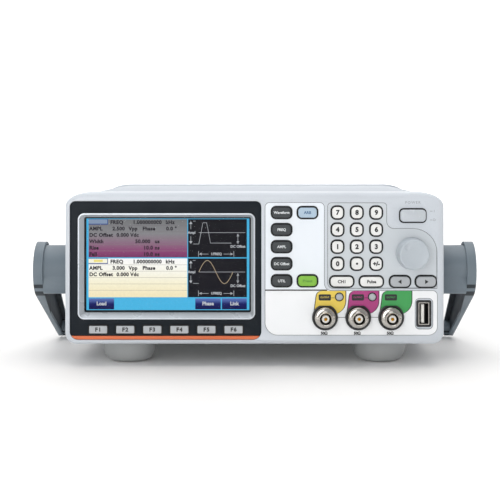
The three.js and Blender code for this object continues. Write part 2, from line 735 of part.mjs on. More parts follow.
const drum = join(
  rodAlongX(drumStart, webInside + beyond, hubY, hubZ, drumRadius, 32),
  sideSlab(drumFlat, drumStart, shellInside),
);
const studHole = rodAlongX(drumStart - beyond, studEnd + 0.6, hubY, hubZ, studRadius + 0.4);
const arm = join(cut(shell, hollow, taperCut), cut(drum, studHole), endBlock);
place("handle_arm_right", arm, handlePlastic);
place("handle_arm_left", arm, handlePlastic).scale.x = -1;

const gripEnd = endInside - gap;
const gripSection = centredRect(gripY, gripZ, 15, 12.6, 5);
place("handle_grip", sideSlab(gripSection, -gripEnd, gripEnd, 5), handlePlastic);

export default instrument;
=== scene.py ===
import math

import bmesh
import bpy
from mathutils import Matrix, Vector


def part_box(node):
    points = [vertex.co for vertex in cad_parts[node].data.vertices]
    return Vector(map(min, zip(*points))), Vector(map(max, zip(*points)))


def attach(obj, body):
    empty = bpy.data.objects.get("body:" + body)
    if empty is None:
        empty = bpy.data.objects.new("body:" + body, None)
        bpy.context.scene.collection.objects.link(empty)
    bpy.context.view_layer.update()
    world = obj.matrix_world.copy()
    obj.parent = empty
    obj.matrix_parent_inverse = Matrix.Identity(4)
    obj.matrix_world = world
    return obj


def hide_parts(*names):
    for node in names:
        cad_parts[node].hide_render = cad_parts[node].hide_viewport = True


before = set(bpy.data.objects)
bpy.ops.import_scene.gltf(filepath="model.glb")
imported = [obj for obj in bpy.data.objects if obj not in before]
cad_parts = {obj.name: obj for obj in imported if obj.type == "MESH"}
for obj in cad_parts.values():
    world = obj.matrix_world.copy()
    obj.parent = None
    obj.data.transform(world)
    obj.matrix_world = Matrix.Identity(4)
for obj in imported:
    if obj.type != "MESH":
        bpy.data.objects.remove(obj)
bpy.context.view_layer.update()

# ---- Tray, side walls and handle studs -------------------------------------------------------------------
# The tray that carries everything is folded zinc-plated steel. A round boss and a stud on each side wall
# stick out of the cover and carry the handle.
mm = 0.001


def srgb(red, green, blue):
    """A colour as a paint maker gives it, 0 to 255, as the linear values that shaders use."""
    return tuple(((c / 255 + 0.055) / 1.055) ** 2.4 for c in (red, green, blue))


def plain_material(name, colour, roughness, metallic=0.0):
    """A new material with its shader's own values set. Returns it, its node tree and its shader."""
    material = bpy.data.materials.new(name)
    material.use_nodes = True
    shader = material.node_tree.nodes["Principled BSDF"]
    shader.inputs["Base Color"].default_value = (*colour, 1)
    shader.inputs["Roughness"].default_value = roughness
    shader.inputs["Metallic"].default_value = metallic
    return material, material.node_tree, shader


def noise(tree, per_metre, detail=3.0, stretch=(1, 1, 1)):
    """Grey noise fixed to the piece, with about that many grains to the metre."""
    place = tree.nodes.new("ShaderNodeTexCoord")
    mapping = tree.nodes.new("ShaderNodeMapping")
    mapping.inputs["Scale"].default_value = stretch
    texture = tree.nodes.new("ShaderNodeTexNoise")
    texture.inputs["Scale"].default_value = per_metre
    texture.inputs["Detail"].default_value = detail
    tree.links.new(place.outputs["Object"], mapping.inputs["Vector"])
    tree.links.new(mapping.outputs["Vector"], texture.inputs["Vector"])
    return texture.outputs["Fac"]


def spread(tree, value, low, high, start=0.3, end=0.7):
    """The grey value stretched to run from low to high."""
    node = tree.nodes.new("ShaderNodeMapRange")
    node.inputs["From Min"].default_value = start
    node.inputs["From Max"].default_value = end
    node.inputs["To Min"].default_value = low
    node.inputs["To Max"].default_value = high
    tree.links.new(value, node.inputs["Value"])
    return node.outputs["Result"]


def blend_colours(tree, value, first, second):
    """A colour between two, or between a colour and what another node gives."""
    node = tree.nodes.new("ShaderNodeMix")
    node.data_type = "RGBA"
    tree.links.new(value, node.inputs["Factor"])
    for socket, colour in ((node.inputs[6], first), (node.inputs[7], second)):
        if isinstance(colour, tuple):
            socket.default_value = (*colour, 1)
        else:
            tree.links.new(colour, socket)
    return node.outputs[2]


def shade(colour, factor):
    return tuple(c * factor for c in colour)


def bump(tree, shader, value, depth, strength=1.0):
    """Raises the surface by depth metres where the grey value is white."""
    node = tree.nodes.new("ShaderNodeBump")
    node.inputs["Strength"].default_value = strength
    node.inputs["Distance"].default_value = depth
    tree.links.new(value, node.inputs["Height"])
    tree.links.new(node.outputs["Normal"], shader.inputs["Normal"])


def metal(name, colour, roughness, streaks=(1, 1, 1), spangle=40.0):
    """Bare or plated metal: faint cloudy spangle, fine rolling streaks and uneven gloss."""
    material, tree, shader = plain_material(name, colour, roughness, 1.0)
    cloud = spread(tree, noise(tree, spangle, 2), 0, 1)
    fine = noise(tree, 900, 3, streaks)
    tree.links.new(blend_colours(tree, cloud, shade(colour, 0.86), colour), shader.inputs["Base Color"])
    tree.links.new(spread(tree, fine, roughness * 0.8, roughness * 1.25), shader.inputs["Roughness"])
    bump(tree, shader, fine, 0.006 * mm)
    return material


def dress(node, material):
    """Gives a CAD node that keeps its own shape a finished surface."""
    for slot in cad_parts[node].material_slots:
        slot.material = material


zinc = metal("zinc_plated_steel", srgb(196, 200, 202), 0.34, (1, 0.05, 1), 90)
dress("bottom_chassis", zinc)

# ---- Circuit boards --------------------------------------------------------------------------------------
# The main board, the supply and the board behind the keys are green glass-fibre boards with black and tinned
# parts soldered on. They stand on posts in the tray and behind the front.


def circuit_board(name, top, mask, part):
    """Green solder mask with paler tracks up to the height of the board's face, and dark parts above it."""
    material, tree, shader = plain_material(name, mask, 0.4)
    place = tree.nodes.new("ShaderNodeTexCoord")
    tracks = tree.nodes.new("ShaderNodeTexBrick")
    tracks.inputs["Scale"].default_value = 90
    tracks.inputs["Mortar Size"].default_value = 0.06
    tracks.inputs["Color1"].default_value = (*mask, 1)
    tracks.inputs["Color2"].default_value = (*shade(mask, 0.75), 1)
    tracks.inputs["Mortar"].default_value = (*shade(mask, 2.2), 1)
    tree.links.new(place.outputs["Object"], tracks.inputs["Vector"])
    axes = tree.nodes.new("ShaderNodeSeparateXYZ")
    tree.links.new(place.outputs["Object"], axes.inputs["Vector"])
    height = spread(tree, axes.outputs["Z"], 0, 1, top, top + 0.1 * mm)
    tree.links.new(blend_colours(tree, height, tracks.outputs["Color"], part), shader.inputs["Base Color"])
    bump(tree, shader, noise(tree, 700, 2), 0.02 * mm)
    return material


board_thickness = 1.6 * mm
mask_green = srgb(32, 92, 60)
for board in ("main_board", "power_supply"):
    board_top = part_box(board)[0].z + board_thickness + 0.2 * mm
    dress(board, circuit_board(board + "_surface", board_top, mask_green, srgb(36, 36, 38)))
front_board_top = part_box("front_board")[1].z
dress("front_board", circuit_board("front_board_surface", front_board_top, mask_green, mask_green))

# ---- Top cover -------------------------------------------------------------------------------------------
# One sheet of aluminium is bent over the top and both sides, and powder coated a cool light grey. It slides
# under the bezel and the rear frame, so that only its edges' thickness is hidden.


def merged(node):
    """A CAD node's skin in one piece, with its flat faces whole, for the piece that stands in its place."""
    bm = bmesh.new()
    bm.from_mesh(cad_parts[node].data)
    bmesh.ops.remove_doubles(bm, verts=bm.verts, dist=0.002 * mm)
    bmesh.ops.dissolve_limit(bm, angle_limit=math.radians(0.8), verts=bm.verts, edges=bm.edges)
    return bm


def ease(bm, radius, segments=2, angle=38, where=None):
    """Rounds the corners of a shape that are sharper than the angle."""
    corners = [e for e in bm.edges if len(e.link_faces) == 2 and e.calc_face_angle() > math.radians(angle)]
    if where:
        corners = [e for e in corners if where(e)]
    bmesh.ops.bevel(
        bm,
        geom=corners,
        offset=radius,
        offset_type="OFFSET",
        segments=segments,
        profile=0.5,
        affect="EDGES",
        material=-1,
        clamp_overlap=True,
    )


def piece(name, bm, materials, body="case", replaces=(), smooth=40):
    """Makes the finished object of a piece, riding on its body."""
    mesh = bpy.data.meshes.new(name)
    bm.to_mesh(mesh)
    bm.free()
    for material in materials if isinstance(materials, (list, tuple)) else [materials]:
        mesh.materials.append(material)
    mesh.shade_smooth()
    mesh.set_sharp_from_angle(angle=math.radians(smooth))
    made = bpy.data.objects.new(name, mesh)
    bpy.context.scene.collection.objects.link(made)
    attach(made, body)
    if replaces:
        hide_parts(*replaces)
    return made


def coated(name, colour, roughness, peel=0.02, peel_per_metre=900):
    """Powder coat or fine moulded plastic: orange peel, a little cloudiness and uneven gloss."""
    material, tree, shader = plain_material(name, colour, roughness)
    cloud = spread(tree, noise(tree, 14, 3), 0, 1)
    tone = blend_colours(tree, cloud, shade(colour, 0.95), shade(colour, 1.03))
    dust = spread(tree, noise(tree, 2600, 2), 0, 1, 0.62, 0.75)
    tree.links.new(blend_colours(tree, dust, tone, shade(colour, 0.82)), shader.inputs["Base Color"])
    worn = spread(tree, noise(tree, 60, 3), roughness - 0.05, roughness + 0.06)
    tree.links.new(worn, shader.inputs["Roughness"])
    bump(tree, shader, noise(tree, peel_per_metre, 3), peel * mm)
    return material


cover_coat = coated("cover_powder_coat", srgb(192, 198, 206), 0.55, 0.03, 1100)
cover_coat.node_tree.nodes["Principled BSDF"].inputs["Specular IOR Level"].default_value = 0.3
cover = merged("top_cover")
ease(cover, 0.35 * mm, 2, 60)
piece("cover_sheet", cover, cover_coat, replaces=["top_cover"])

# ---- Rear frame and rear panel -----------------------------------------------------------------------------
# The rear frame is moulded in the bezel's plastic, with four round bumpers that the instrument can be
# stood on. It clamps a zinc-plated steel panel that carries the fan and the rear sockets.
shell_plastic = coated("moulded_light_grey", srgb(207, 213, 220), 0.34, 0.012, 1500)
rear = merged("rear_frame")
ease(rear, 0.6 * mm, 2, 50)
piece("rear_moulding", rear, shell_plastic, replaces=["rear_frame"])
dress("rear_panel", zinc)
panel_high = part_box("rear_panel")[1]
rear_face = panel_high.y


def turned(profile, axis="Y", steps=48):
    """Spins a half section round an axis through the origin. Each point is [radius, place along the axis]."""
    bm = bmesh.new()
    along = Vector((0, 1, 0)) if axis == "Y" else Vector((0, 0, 1))
    points = [bm.verts.new(Vector((r, 0, 0)) + along * at) for r, at in profile]
    lines = [bm.edges.new(pair) for pair in zip(points, points[1:])]
    bmesh.ops.spin(
        bm,
        geom=points + lines,
        cent=(0, 0, 0),
        axis=along,
        angle=2 * math.pi,
        steps=steps,
        use_merge=True,
    )
    bmesh.ops.remove_doubles(bm, verts=bm.verts, dist=0.001 * mm)
    bmesh.ops.recalc_face_normals(bm, faces=bm.faces)
    return bm


def moved(bm, place, turn=None):
    """Turns and moves a whole shape into its place."""
    if turn is not None:
        bmesh.ops.rotate(bm, cent=(0, 0, 0), matrix=turn, verts=bm.verts)
    bmesh.ops.translate(bm, vec=place, verts=bm.verts)
    return bm


def panel_screw(name, x, z, body="case"):
    """A pan-head screw with a cross recess, seated on the rear panel."""
    head_outline = [(0, 1.4 * mm), (1.6 * mm, 1.25 * mm), (2.5 * mm, 0.75 * mm), (2.8 * mm, 0), (0, 0)]
    bm = turned(head_outline, steps=20)
    # Two thin dark bars stand for the cross recess: painted shade in the recess, not the steel's colour.
    for turn in (0, math.pi / 2):
        slot = bmesh.ops.create_cube(bm, size=1)["verts"]
        bmesh.ops.scale(bm, vec=(2.6 * mm, 0.12 * mm, 0.55 * mm), verts=slot)
        bmesh.ops.rotate(bm, cent=(0, 0, 0), matrix=Matrix.Rotation(turn + 0.4, 3, "Y"), verts=slot)
        bmesh.ops.translate(bm, vec=(0, 1.38 * mm, 0), verts=slot)
        for face in {f for v in slot for f in v.link_faces}:
            face.material_index = 1
    return piece(name, moved(bm, (x, rear_face, z)), [bright_steel, recess_painted_shade], body)


bright_steel = metal("bright_screw_steel", srgb(190, 190, 188), 0.26, (1, 1, 1), 200)
# A near-black finish for the insides of recesses: painted shade, not a colour that the metal has.
recess_painted_shade = coated("recess_painted_shade", srgb(30, 30, 32), 0.7)
screw_places = [
    (-0.118, 0.112), (0.118, 0.112), (-0.118, 0.028), (0.118, 0.028), (0.02, 0.112), (0.02, 0.028)
]
for number, (x, z) in enumerate(screw_places, 1):
    panel_screw(f"rear_panel_screw_{number}", x, z)

# ---- Fan, guard and mains inlet ----------------------------------------------------------------------------
# A 60 mm axial fan of black glass-filled plastic blows out through a guard of plated wire. The mains
# inlet is a black moulding with three plated pins in its mouth and a drawer for the fuse.
black_plastic = coated("black_plastic", srgb(34, 35, 38), 0.42, 0.02, 1400)
dress("fan_frame", black_plastic)
rotor = merged("fan_rotor")
ease(rotor, 0.35 * mm, 2, 50)
piece("rotor_moulding", rotor, black_plastic, "fan", ["fan_rotor"])

fan_low, fan_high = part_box("fan_frame")
fan_centre = (fan_low + fan_high) / 2
wire_radius = 0.8 * mm
guard = bmesh.new()
for ring_radius in (8 * mm, 15 * mm, 22 * mm, 28.5 * mm):
    ring = bmesh.ops.create_circle(guard, cap_ends=False, radius=wire_radius, segments=10)["verts"]
    bmesh.ops.translate(guard, vec=(ring_radius, 0, 0), verts=ring)
    hoop = ring + list({e for v in ring for e in v.link_edges})
    bmesh.ops.spin(
        guard, geom=hoop, cent=(0, 0, 0), axis=(0, 1, 0), angle=2 * math.pi, steps=48, use_merge=True
    )
for arm in range(4):
    spoke = bmesh.ops.create_cone(
        guard,
        cap_ends=True,
        segments=10,
        radius1=wire_radius,
        radius2=wire_radius,
        depth=30 * mm,
    )["verts"]
    bmesh.ops.translate(guard, vec=(0, -1.2 * mm, 20.5 * mm), verts=spoke)
    quarter = Matrix.Rotation(math.pi / 4 + arm * math.pi / 2, 3, "Y")
    bmesh.ops.rotate(guard, cent=(0, 0, 0), matrix=quarter, verts=spoke)
bmesh.ops.remove_doubles(guard, verts=guard.verts, dist=0.001 * mm)
bmesh.ops.recalc_face_normals(guard, faces=guard.faces)
plated_wire = metal("plated_wire", srgb(186, 188, 190), 0.22, (1, 1, 1), 300)
piece("fan_guard", moved(guard, (fan_centre.x, rear_face + 2.2 * mm, fan_centre.z)), plated_wire)

inlet = merged("mains_inlet")
ease(inlet, 0.5 * mm, 2, 60)
piece("inlet_moulding", inlet, black_plastic, replaces=["mains_inlet"])


def rounded_block(width, depth, height, radius, edge=0.0, segments=6, edge_segments=3):
    """A block along Y with its four long corners rounded, and the rim of its front face eased."""
    bm = bmesh.new()
    bmesh.ops.create_cube(bm, size=1)
    bmesh.ops.scale(bm, vec=(width, depth, height), verts=bm.verts)
    long_corners = [e for e in bm.edges if abs(e.verts[0].co.y - e.verts[1].co.y) > depth / 2]
    if radius:
        bmesh.ops.bevel(
            bm,
            geom=long_corners,
            offset=radius,
            offset_type="OFFSET",
            segments=segments,
            profile=0.5,
            affect="EDGES",
            material=-1,
        )
    if edge:
        front_face = min(bm.faces, key=lambda f: f.calc_center_median().y)
        bmesh.ops.bevel(
            bm,
            geom=list(front_face.edges),
            offset=edge,
            offset_type="OFFSET",
            segments=edge_segments,
            profile=0.5,
            affect="EDGES",
            material=-1,
        )
    return bm


inlet_low, inlet_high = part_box("mains_inlet")
inlet_centre = (inlet_low + inlet_high) / 2
nickel = metal("nickel_plate", srgb(196, 192, 186), 0.16, (1, 1, 1), 260)
pin_length = 12 * mm
for label, x, z in (("live", -7 * mm, -2 * mm), ("earth", 0, 2 * mm), ("neutral", 7 * mm, -2 * mm)):
    blade = rounded_block(2 * mm, pin_length, 4 * mm, 0.3 * mm, 0.0)
    ease(blade, 0.4 * mm, 2, 60)
    pin_place = (inlet_centre.x + x, inlet_high.y - 10.5 * mm, inlet_centre.z + z)
    piece(f"inlet_pin_{label}", moved(blade, pin_place), nickel)

# ---- Rear sockets ------------------------------------------------------------------------------------------
# Trigger and reference BNC sockets, a square network jack, a square device-side USB socket and a brass earth
# post with a knurled nut stand on the rear panel between the fan and the mains inlet.


def bnc_barrel(front_ring=True):
    """A nickel-plated BNC socket along Y, its mouth towards -Y and the panel's face at y = 0."""
    profile = [
        (0, -3.6 * mm),
        (4.05 * mm, -3.6 * mm),
        (4.05 * mm, -12.7 * mm),
        (4.35 * mm, -13.0 * mm),
        (4.7 * mm, -13.0 * mm),
        (4.9 * mm, -12.7 * mm),
        (4.9 * mm, -11.2 * mm),
        (4.55 * mm, -10.9 * mm),
        (4.55 * mm, -8.0 * mm),
        (4.9 * mm, -7.7 * mm),
        (4.9 * mm, -4.8 * mm),
        (6.1 * mm, -4.6 * mm),
        (6.9 * mm, -4.3 * mm),
        (7.3 * mm, -3.8 * mm),
        (7.3 * mm, -1.6 * mm),
        (7.3 * mm, 0.3 * mm),
        (0, 0.3 * mm),
    ]
    bm = turned(profile, steps=56)
    for side in (-1, 1):
        lug = bmesh.ops.create_cone(
            bm, cap_ends=True, segments=14, radius1=1.05 * mm, radius2=0.9 * mm, depth=1.6 * mm
        )["verts"]
        bmesh.ops.rotate(bm, cent=(0, 0, 0), matrix=Matrix.Rotation(side * math.pi / 2, 3, "Y"), verts=lug)
        bmesh.ops.translate(bm, vec=(side * 5.3 * mm, -9.4 * mm, 0), verts=lug)
    ease(bm, 0.12 * mm, 2, 50)
    # The bore's inner faces take the near-black second finish: painted shade inside the barrel.
    for face in bm.faces:
        if all(math.hypot(v.co.x, v.co.z) < 4.1 * mm and v.co.y > -12.5 * mm for v in face.verts):
            face.material_index = 1
    return bm


def bnc_insulator():
    """The white tube inside a BNC socket, with the hole that its contact stands in."""
    profile = [
        (0, -3.7 * mm),
        (1.08 * mm, -3.7 * mm),
        (1.12 * mm, -11.0 * mm),
        (1.3 * mm, -11.3 * mm),
        (2.4 * mm, -11.3 * mm),
        (2.65 * mm, -11.0 * mm),
        (2.75 * mm, -6.0 * mm),
        (2.75 * mm, -3.7 * mm),
    ]
    return turned(profile, steps=36)


def bnc_contact():
    """The gold-plated contact, a split tube."""
    profile = [
        (0, -6.2 * mm),
        (0.4 * mm, -6.2 * mm),
        (0.42 * mm, -11.6 * mm),
        (0.7 * mm, -11.9 * mm),
        (1.0 * mm, -11.7 * mm),
        (1.04 * mm, -3.8 * mm),
    ]
    return turned(profile, steps=24)


def bnc_socket(label, place, turn=None, replaces=()):
    """The three parts of a BNC socket in their place."""
    barrel = moved(bnc_barrel(), place, turn)
    piece(label + "_barrel", barrel, [nickel, recess_painted_shade], replaces=replaces)
    piece(label + "_insulator", moved(bnc_insulator(), place, turn), white_insulator)
    piece(label + "_contact", moved(bnc_contact(), place, turn), gold_plate)


white_insulator = coated("white_insulator", srgb(238, 236, 230), 0.35, 0.004)
gold_plate = metal("gold_plate", srgb(222, 178, 84), 0.22, (1, 1, 1), 400)
half_turn = Matrix.Rotation(math.pi, 3, "Z")
for number, x in enumerate((-24 * mm, 2 * mm, 28 * mm), 1):
    bnc_socket(f"rear_bnc_{number}", (x, rear_face, 95 * mm), half_turn)


def square_socket(label, x, z, width, height, depth, tongue_material):
    """A plated square shell with a dark mouth and a tongue of contacts."""
    shell = rounded_block(width, depth, height, 0.8 * mm)
    mouth = max(shell.faces, key=lambda f: f.calc_center_median().y)
    bmesh.ops.inset_region(shell, faces=[mouth], thickness=0.7 * mm, use_even_offset=True)
    sunk = bmesh.ops.extrude_discrete_faces(shell, faces=[mouth])["faces"]
    bmesh.ops.translate(shell, vec=(0, -depth * 0.8, 0), verts=sunk[0].verts)
    place = Vector((x, rear_face + depth / 2 - 4 * mm, z))
    piece(label + "_shell", moved(shell, place), bright_steel)
    tongue = rounded_block(width * 0.55, depth * 0.7, height * 0.3, 0.3 * mm)
    piece(label + "_tongue", moved(tongue, place + Vector((0, -0.8 * mm, height * 0.1))), tongue_material)


square_socket("network_jack", -14 * mm, 45 * mm, 16 * mm, 13.5 * mm, 7 * mm, black_plastic)
square_socket("device_port", 16 * mm, 45 * mm, 12 * mm, 11 * mm, 7 * mm, white_insulator)

post = turned(
    [(0, 0), (4.5 * mm, 0), (4.5 * mm, 1.2 * mm), (3.9 * mm, 1.5 * mm), (3.9 * mm, 6.5 * mm),
     (3.4 * mm, 7 * mm), (1.6 * mm, 7 * mm), (1.6 * mm, 9.4 * mm), (1.2 * mm, 9.8 * mm), (0, 9.8 * mm)],
    steps=36,
)
brass = metal("brass", srgb(206, 170, 92), 0.3, (1, 1, 1), 160)
piece("earth_post", moved(post, (40 * mm, rear_face, 72 * mm)), brass)

# ---- Front bezel -------------------------------------------------------------------------------------------
# The bezel is one injection moulding in satin light-grey plastic, with a large soft edge along its top.
# It has shallow beds for the printed labels, and clean-edged holes for the keys and sockets.
bezel = merged("front_bezel")
ease(bezel, 0.22 * mm, 2, 45)
piece("bezel_moulding", bezel, shell_plastic, replaces=["front_bezel"])
bezel_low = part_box("front_bezel")[0]
face_y = bezel_low.y
pocket_depth = 0.6 * mm


def label_sheet(name, material, thickness, clearance, wanted):
    """A sheet glued in one of the bezel's beds: the bed's own floor, drawn in a little and made solid."""
    bm = merged("front_bezel")
    bed_y = face_y + pocket_depth
    floor_faces = [f for f in bm.faces if all(abs(v.co.y - bed_y) < 0.02 * mm for v in f.verts) and wanted(f)]
    bmesh.ops.delete(bm, geom=[f for f in bm.faces if f not in floor_faces], context="FACES")
    bmesh.ops.translate(bm, vec=(0, -0.02 * mm, 0), verts=bm.verts)
    if clearance:
        drawn_in = bmesh.ops.inset_region(
            bm, faces=bm.faces[:], thickness=clearance, use_boundary=True, use_even_offset=True
        )
        bmesh.ops.delete(bm, geom=drawn_in["faces"], context="FACES")
    risen = bmesh.ops.extrude_face_region(bm, geom=bm.faces[:])["geom"]
    front_edge = [v for v in risen if isinstance(v, bmesh.types.BMVert)]
    bmesh.ops.translate(bm, vec=(0, -thickness, 0), verts=front_edge)
    flats = [f for f in bm.faces if len(f.verts) > 4]
    bmesh.ops.triangulate(bm, faces=flats)
    bm.normal_update()
    middle_y = bed_y - 0.02 * mm - thickness / 2
    for face in bm.faces:
        faces_front = face.calc_center_median().y < middle_y
        if abs(face.normal.y) > 0.5 and (face.normal.y < 0) != faces_front:
            face.normal_flip()
    return piece(name, bm, material)


def printed_film(name, upper, lower, split):
    """Matt printed film in two colours that meet at a height, with a very fine tooth."""
    material, tree, shader = plain_material(name, upper, 0.34)
    place = tree.nodes.new("ShaderNodeTexCoord")
    axes = tree.nodes.new("ShaderNodeSeparateXYZ")
    tree.links.new(place.outputs["Object"], axes.inputs["Vector"])
    height = spread(tree, axes.outputs["Z"], 0, 1, split - 0.05 * mm, split + 0.05 * mm)
    cloud = spread(tree, noise(tree, 22, 3), 0, 1)
    high = blend_colours(tree, cloud, shade(upper, 0.97), upper)
    low = blend_colours(tree, cloud, shade(lower, 0.97), lower)
    tree.links.new(blend_colours(tree, height, low, high), shader.inputs["Base Color"])
    bump(tree, shader, noise(tree, 3200, 2), 0.004 * mm)
    return material


def in_keypad(face):
    return all(v.co.x > 50.5 * mm and v.co.z > 54.6 * mm for v in face.verts)


film_split = 54.1 * mm
label_film = printed_film("label_film", srgb(240, 246, 252), srgb(250, 252, 254), film_split)
keypad_film = printed_film("keypad_film", srgb(208, 214, 219), srgb(208, 214, 219), film_split)
film_thickness = 0.45 * mm
groove_width = 0.3 * mm
film_face = face_y + pocket_depth - 0.02 * mm - film_thickness
# A dark sheet under each printed film shows only in the thin groove round its edges and key holes: painted
# shade in those gaps, not a colour of the glue.
shade_backing = coated("film_shade_backing", srgb(62, 66, 72), 0.6)
shade_backing_thickness = 0.05 * mm
label_sheet("label_shade_backing", shade_backing, shade_backing_thickness, 0, lambda face: not in_keypad(face))
label_sheet("label_sheet", label_film, film_thickness, groove_width, lambda face: not in_keypad(face))
label_sheet("keypad_shade_backing", shade_backing, shade_backing_thickness, 0, in_keypad)
label_sheet("keypad_sheet", keypad_film, film_thickness, groove_width, in_keypad)

# ---- Prints on the front -----------------------------------------------------------------------------------
# Each output has a patch in its own colour with a dark name plate, and a thin rule joins the sockets.
# They are screen printed on the label sheet in opaque ink.


def rounded_sheet(left, right, bottom, top, radii, y, thickness, lean=0.0):
    """A thin sheet that faces the front. radii: bottom left, bottom right, top right, top left."""
    bm = bmesh.new()
    places = ((left, bottom), (right, bottom), (right, top), (left + lean, top))
    corners = [bm.verts.new((x, y, z)) for x, z in places]
    bm.faces.new(corners)
    for corner, radius in zip(corners, radii):
        if radius:
            bmesh.ops.bevel(
                bm,
                geom=[corner],
                offset=radius,
                offset_type="OFFSET",
                segments=8,
                profile=0.5,
                affect="VERTICES",
                material=-1,
            )
    risen = bmesh.ops.extrude_face_region(bm, geom=bm.faces[:])["geom"]
    front_edge = [v for v in risen if isinstance(v, bmesh.types.BMVert)]
    bmesh.ops.translate(bm, vec=(0, -thickness, 0), verts=front_edge)
    bmesh.ops.recalc_face_normals(bm, faces=bm.faces)
    return bm


def add_words(bm, words, height, x, y, z, align="CENTER", weight=0.0, spacing=1.0, thickness=0.02 * mm):
    """Adds lettering that faces the front, its capitals that high, centred or starting at the place."""
    text = bpy.data.curves.new("lettering", "FONT")
    text.body = words
    text.size = height / 0.69
    text.align_x = align
    text.align_y = "CENTER"
    text.extrude = thickness
    text.offset = weight
    text.space_character = spacing
    text.resolution_u = 3
    carrier = bpy.data.objects.new("lettering", text)
    bpy.context.scene.collection.objects.link(carrier)
    outline = bpy.data.meshes.new_from_object(carrier.evaluated_get(bpy.context.evaluated_depsgraph_get()))
    outline.transform(Matrix.Translation((x, y, z)) @ Matrix.Rotation(math.pi / 2, 4, "X"))
    bm.from_mesh(outline)
    bpy.data.objects.remove(carrier)
    bpy.data.curves.remove(text)
    bpy.data.meshes.remove(outline)


def add_line(bm, points, width, flat=0.3):
    """Adds a printed line through points that face the front."""
    path = bpy.data.curves.new("line", "CURVE")
    path.dimensions = "3D"
    path.bevel_depth = width / 2
    path.bevel_resolution = 1
    path.use_fill_caps = True
    spline = path.splines.new("POLY")
    spline.points.add(len(points) - 1)
    for point, place in zip(spline.points, points):
        point.co = (*place, 1)
    carrier = bpy.data.objects.new("line", path)
    bpy.context.scene.collection.objects.link(carrier)
    outline = bpy.data.meshes.new_from_object(carrier.evaluated_get(bpy.context.evaluated_depsgraph_get()))
    depth = points[0][1]
    outline.transform(Matrix.Translation((0, depth * (1 - flat), 0)) @ Matrix.Diagonal((1, flat, 1, 1)))
    bm.from_mesh(outline)
    bpy.data.objects.remove(carrier)
    bpy.data.curves.remove(path)
    bpy.data.meshes.remove(outline)


def ink(name, colour, roughness=0.4):
    """Screen-printed ink: almost even, with the mesh of the screen just showing."""
    return coated(name, colour, roughness, 0.004, 3000)


bnc_nodes = ("bnc_channel_1", "bnc_pulse", "bnc_radio_frequency")
bnc_centres = []
for node in bnc_nodes:
    low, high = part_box(node)
    bnc_centres.append((low + high) / 2)
bnc_z = bnc_centres[0].z - 0.4 * mm
ink_thickness = 0.04 * mm
patch_colours = (srgb(238, 208, 84), srgb(178, 54, 128), srgb(60, 164, 84))
dark_ink = ink("dark_ink", srgb(26, 27, 30))
patch_names = ("yellow", "magenta", "green")
for number, (centre, colour, name) in enumerate(zip(bnc_centres, patch_colours, patch_names)):
    patch_ink = ink(name + "_ink", colour)
    x = centre.x
    z = bnc_z
    for part, grow, level, part_ink in (("outline", 0.6 * mm, 0, dark_ink), ("patch", 0, 1, patch_ink)):
        outline = rounded_sheet(
            x - 7.7 * mm - grow,
            x + 14.4 * mm + grow,
            z + 2 * mm,
            film_split - 0.5 * mm,
            (0, 9.5 * mm, 0.3 * mm, 3.5 * mm),
            film_face - 0.01 * mm - level * ink_thickness,
            ink_thickness,
            2.2 * mm,
        )
        piece(f"print_{name}_{part}", outline, part_ink)
    plate = rounded_sheet(
        x - 4.4 * mm,
        x + 4.2 * mm,
        z + 11.8 * mm,
        z + 16.2 * mm,
        [0.9 * mm] * 4,
        film_face - 0.01 * mm - 2 * ink_thickness,
        ink_thickness,
    )
    piece(f"print_{name}_plate", plate, dark_ink)
    plate_words = bmesh.new()
    plate_face = film_face - 0.03 * mm - 3 * ink_thickness
    add_words(plate_words, "OUTPUT", 1.1 * mm, x - 0.1 * mm, plate_face, z + 14 * mm, weight=0.02 * mm)
    piece(f"print_{name}_plate_words", plate_words, patch_ink)
    rules = bmesh.new()
    if number < 2:
        line_z = z + 13.7 * mm
        add_line(rules, [(x + 4.2 * mm, plate_face, line_z), (x + 7.6 * mm, plate_face, line_z)], 0.35 * mm)
        joint_face = film_face - 0.02 * mm
        add_line(rules, [(x + 9 * mm, joint_face, z), (x + 14.4 * mm, joint_face, z)], 0.4 * mm)
    rules_face = film_face - 0.02 * mm
    add_words(rules, "50\u03a9", 1.85 * mm, x - 0.6 * mm, rules_face, z - 11.3 * mm, weight=0.16 * mm)
    piece(f"print_{name}_rules", rules, dark_ink)

split_left, split_right = 7.5 * mm, 51.2 * mm
split_line = rounded_sheet(
    split_left,
    split_right,
    film_split - 0.45 * mm,
    film_split + 0.45 * mm,
    [0] * 4,
    film_face - 0.01 * mm,
    ink_thickness,
)
piece("print_split_line", split_line, dark_ink)

power_low, power_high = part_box("power_button")
power_centre = (power_low + power_high) / 2
power_marks = bmesh.new()
mark_y = face_y - 0.02 * mm
add_words(power_marks, "POWER", 1.8 * mm, power_centre.x, mark_y, power_high.z + 3.1 * mm, spacing=1.35)
for step, mark in ((3.1 * mm, "I"), (-3.1 * mm, "O")):
    mark_z = power_centre.z + step
    mark_x = power_high.x + 4.6 * mm
    add_line(power_marks, [(mark_x - 3 * mm, mark_y, mark_z), (mark_x - 1.2 * mm, mark_y, mark_z)], 0.4 * mm)
    add_words(power_marks, mark, 1.7 * mm, mark_x, mark_y, mark_z)
pale_ink = ink("pale_ink", srgb(150, 155, 161))
piece("print_power_marks", power_marks, pale_ink)

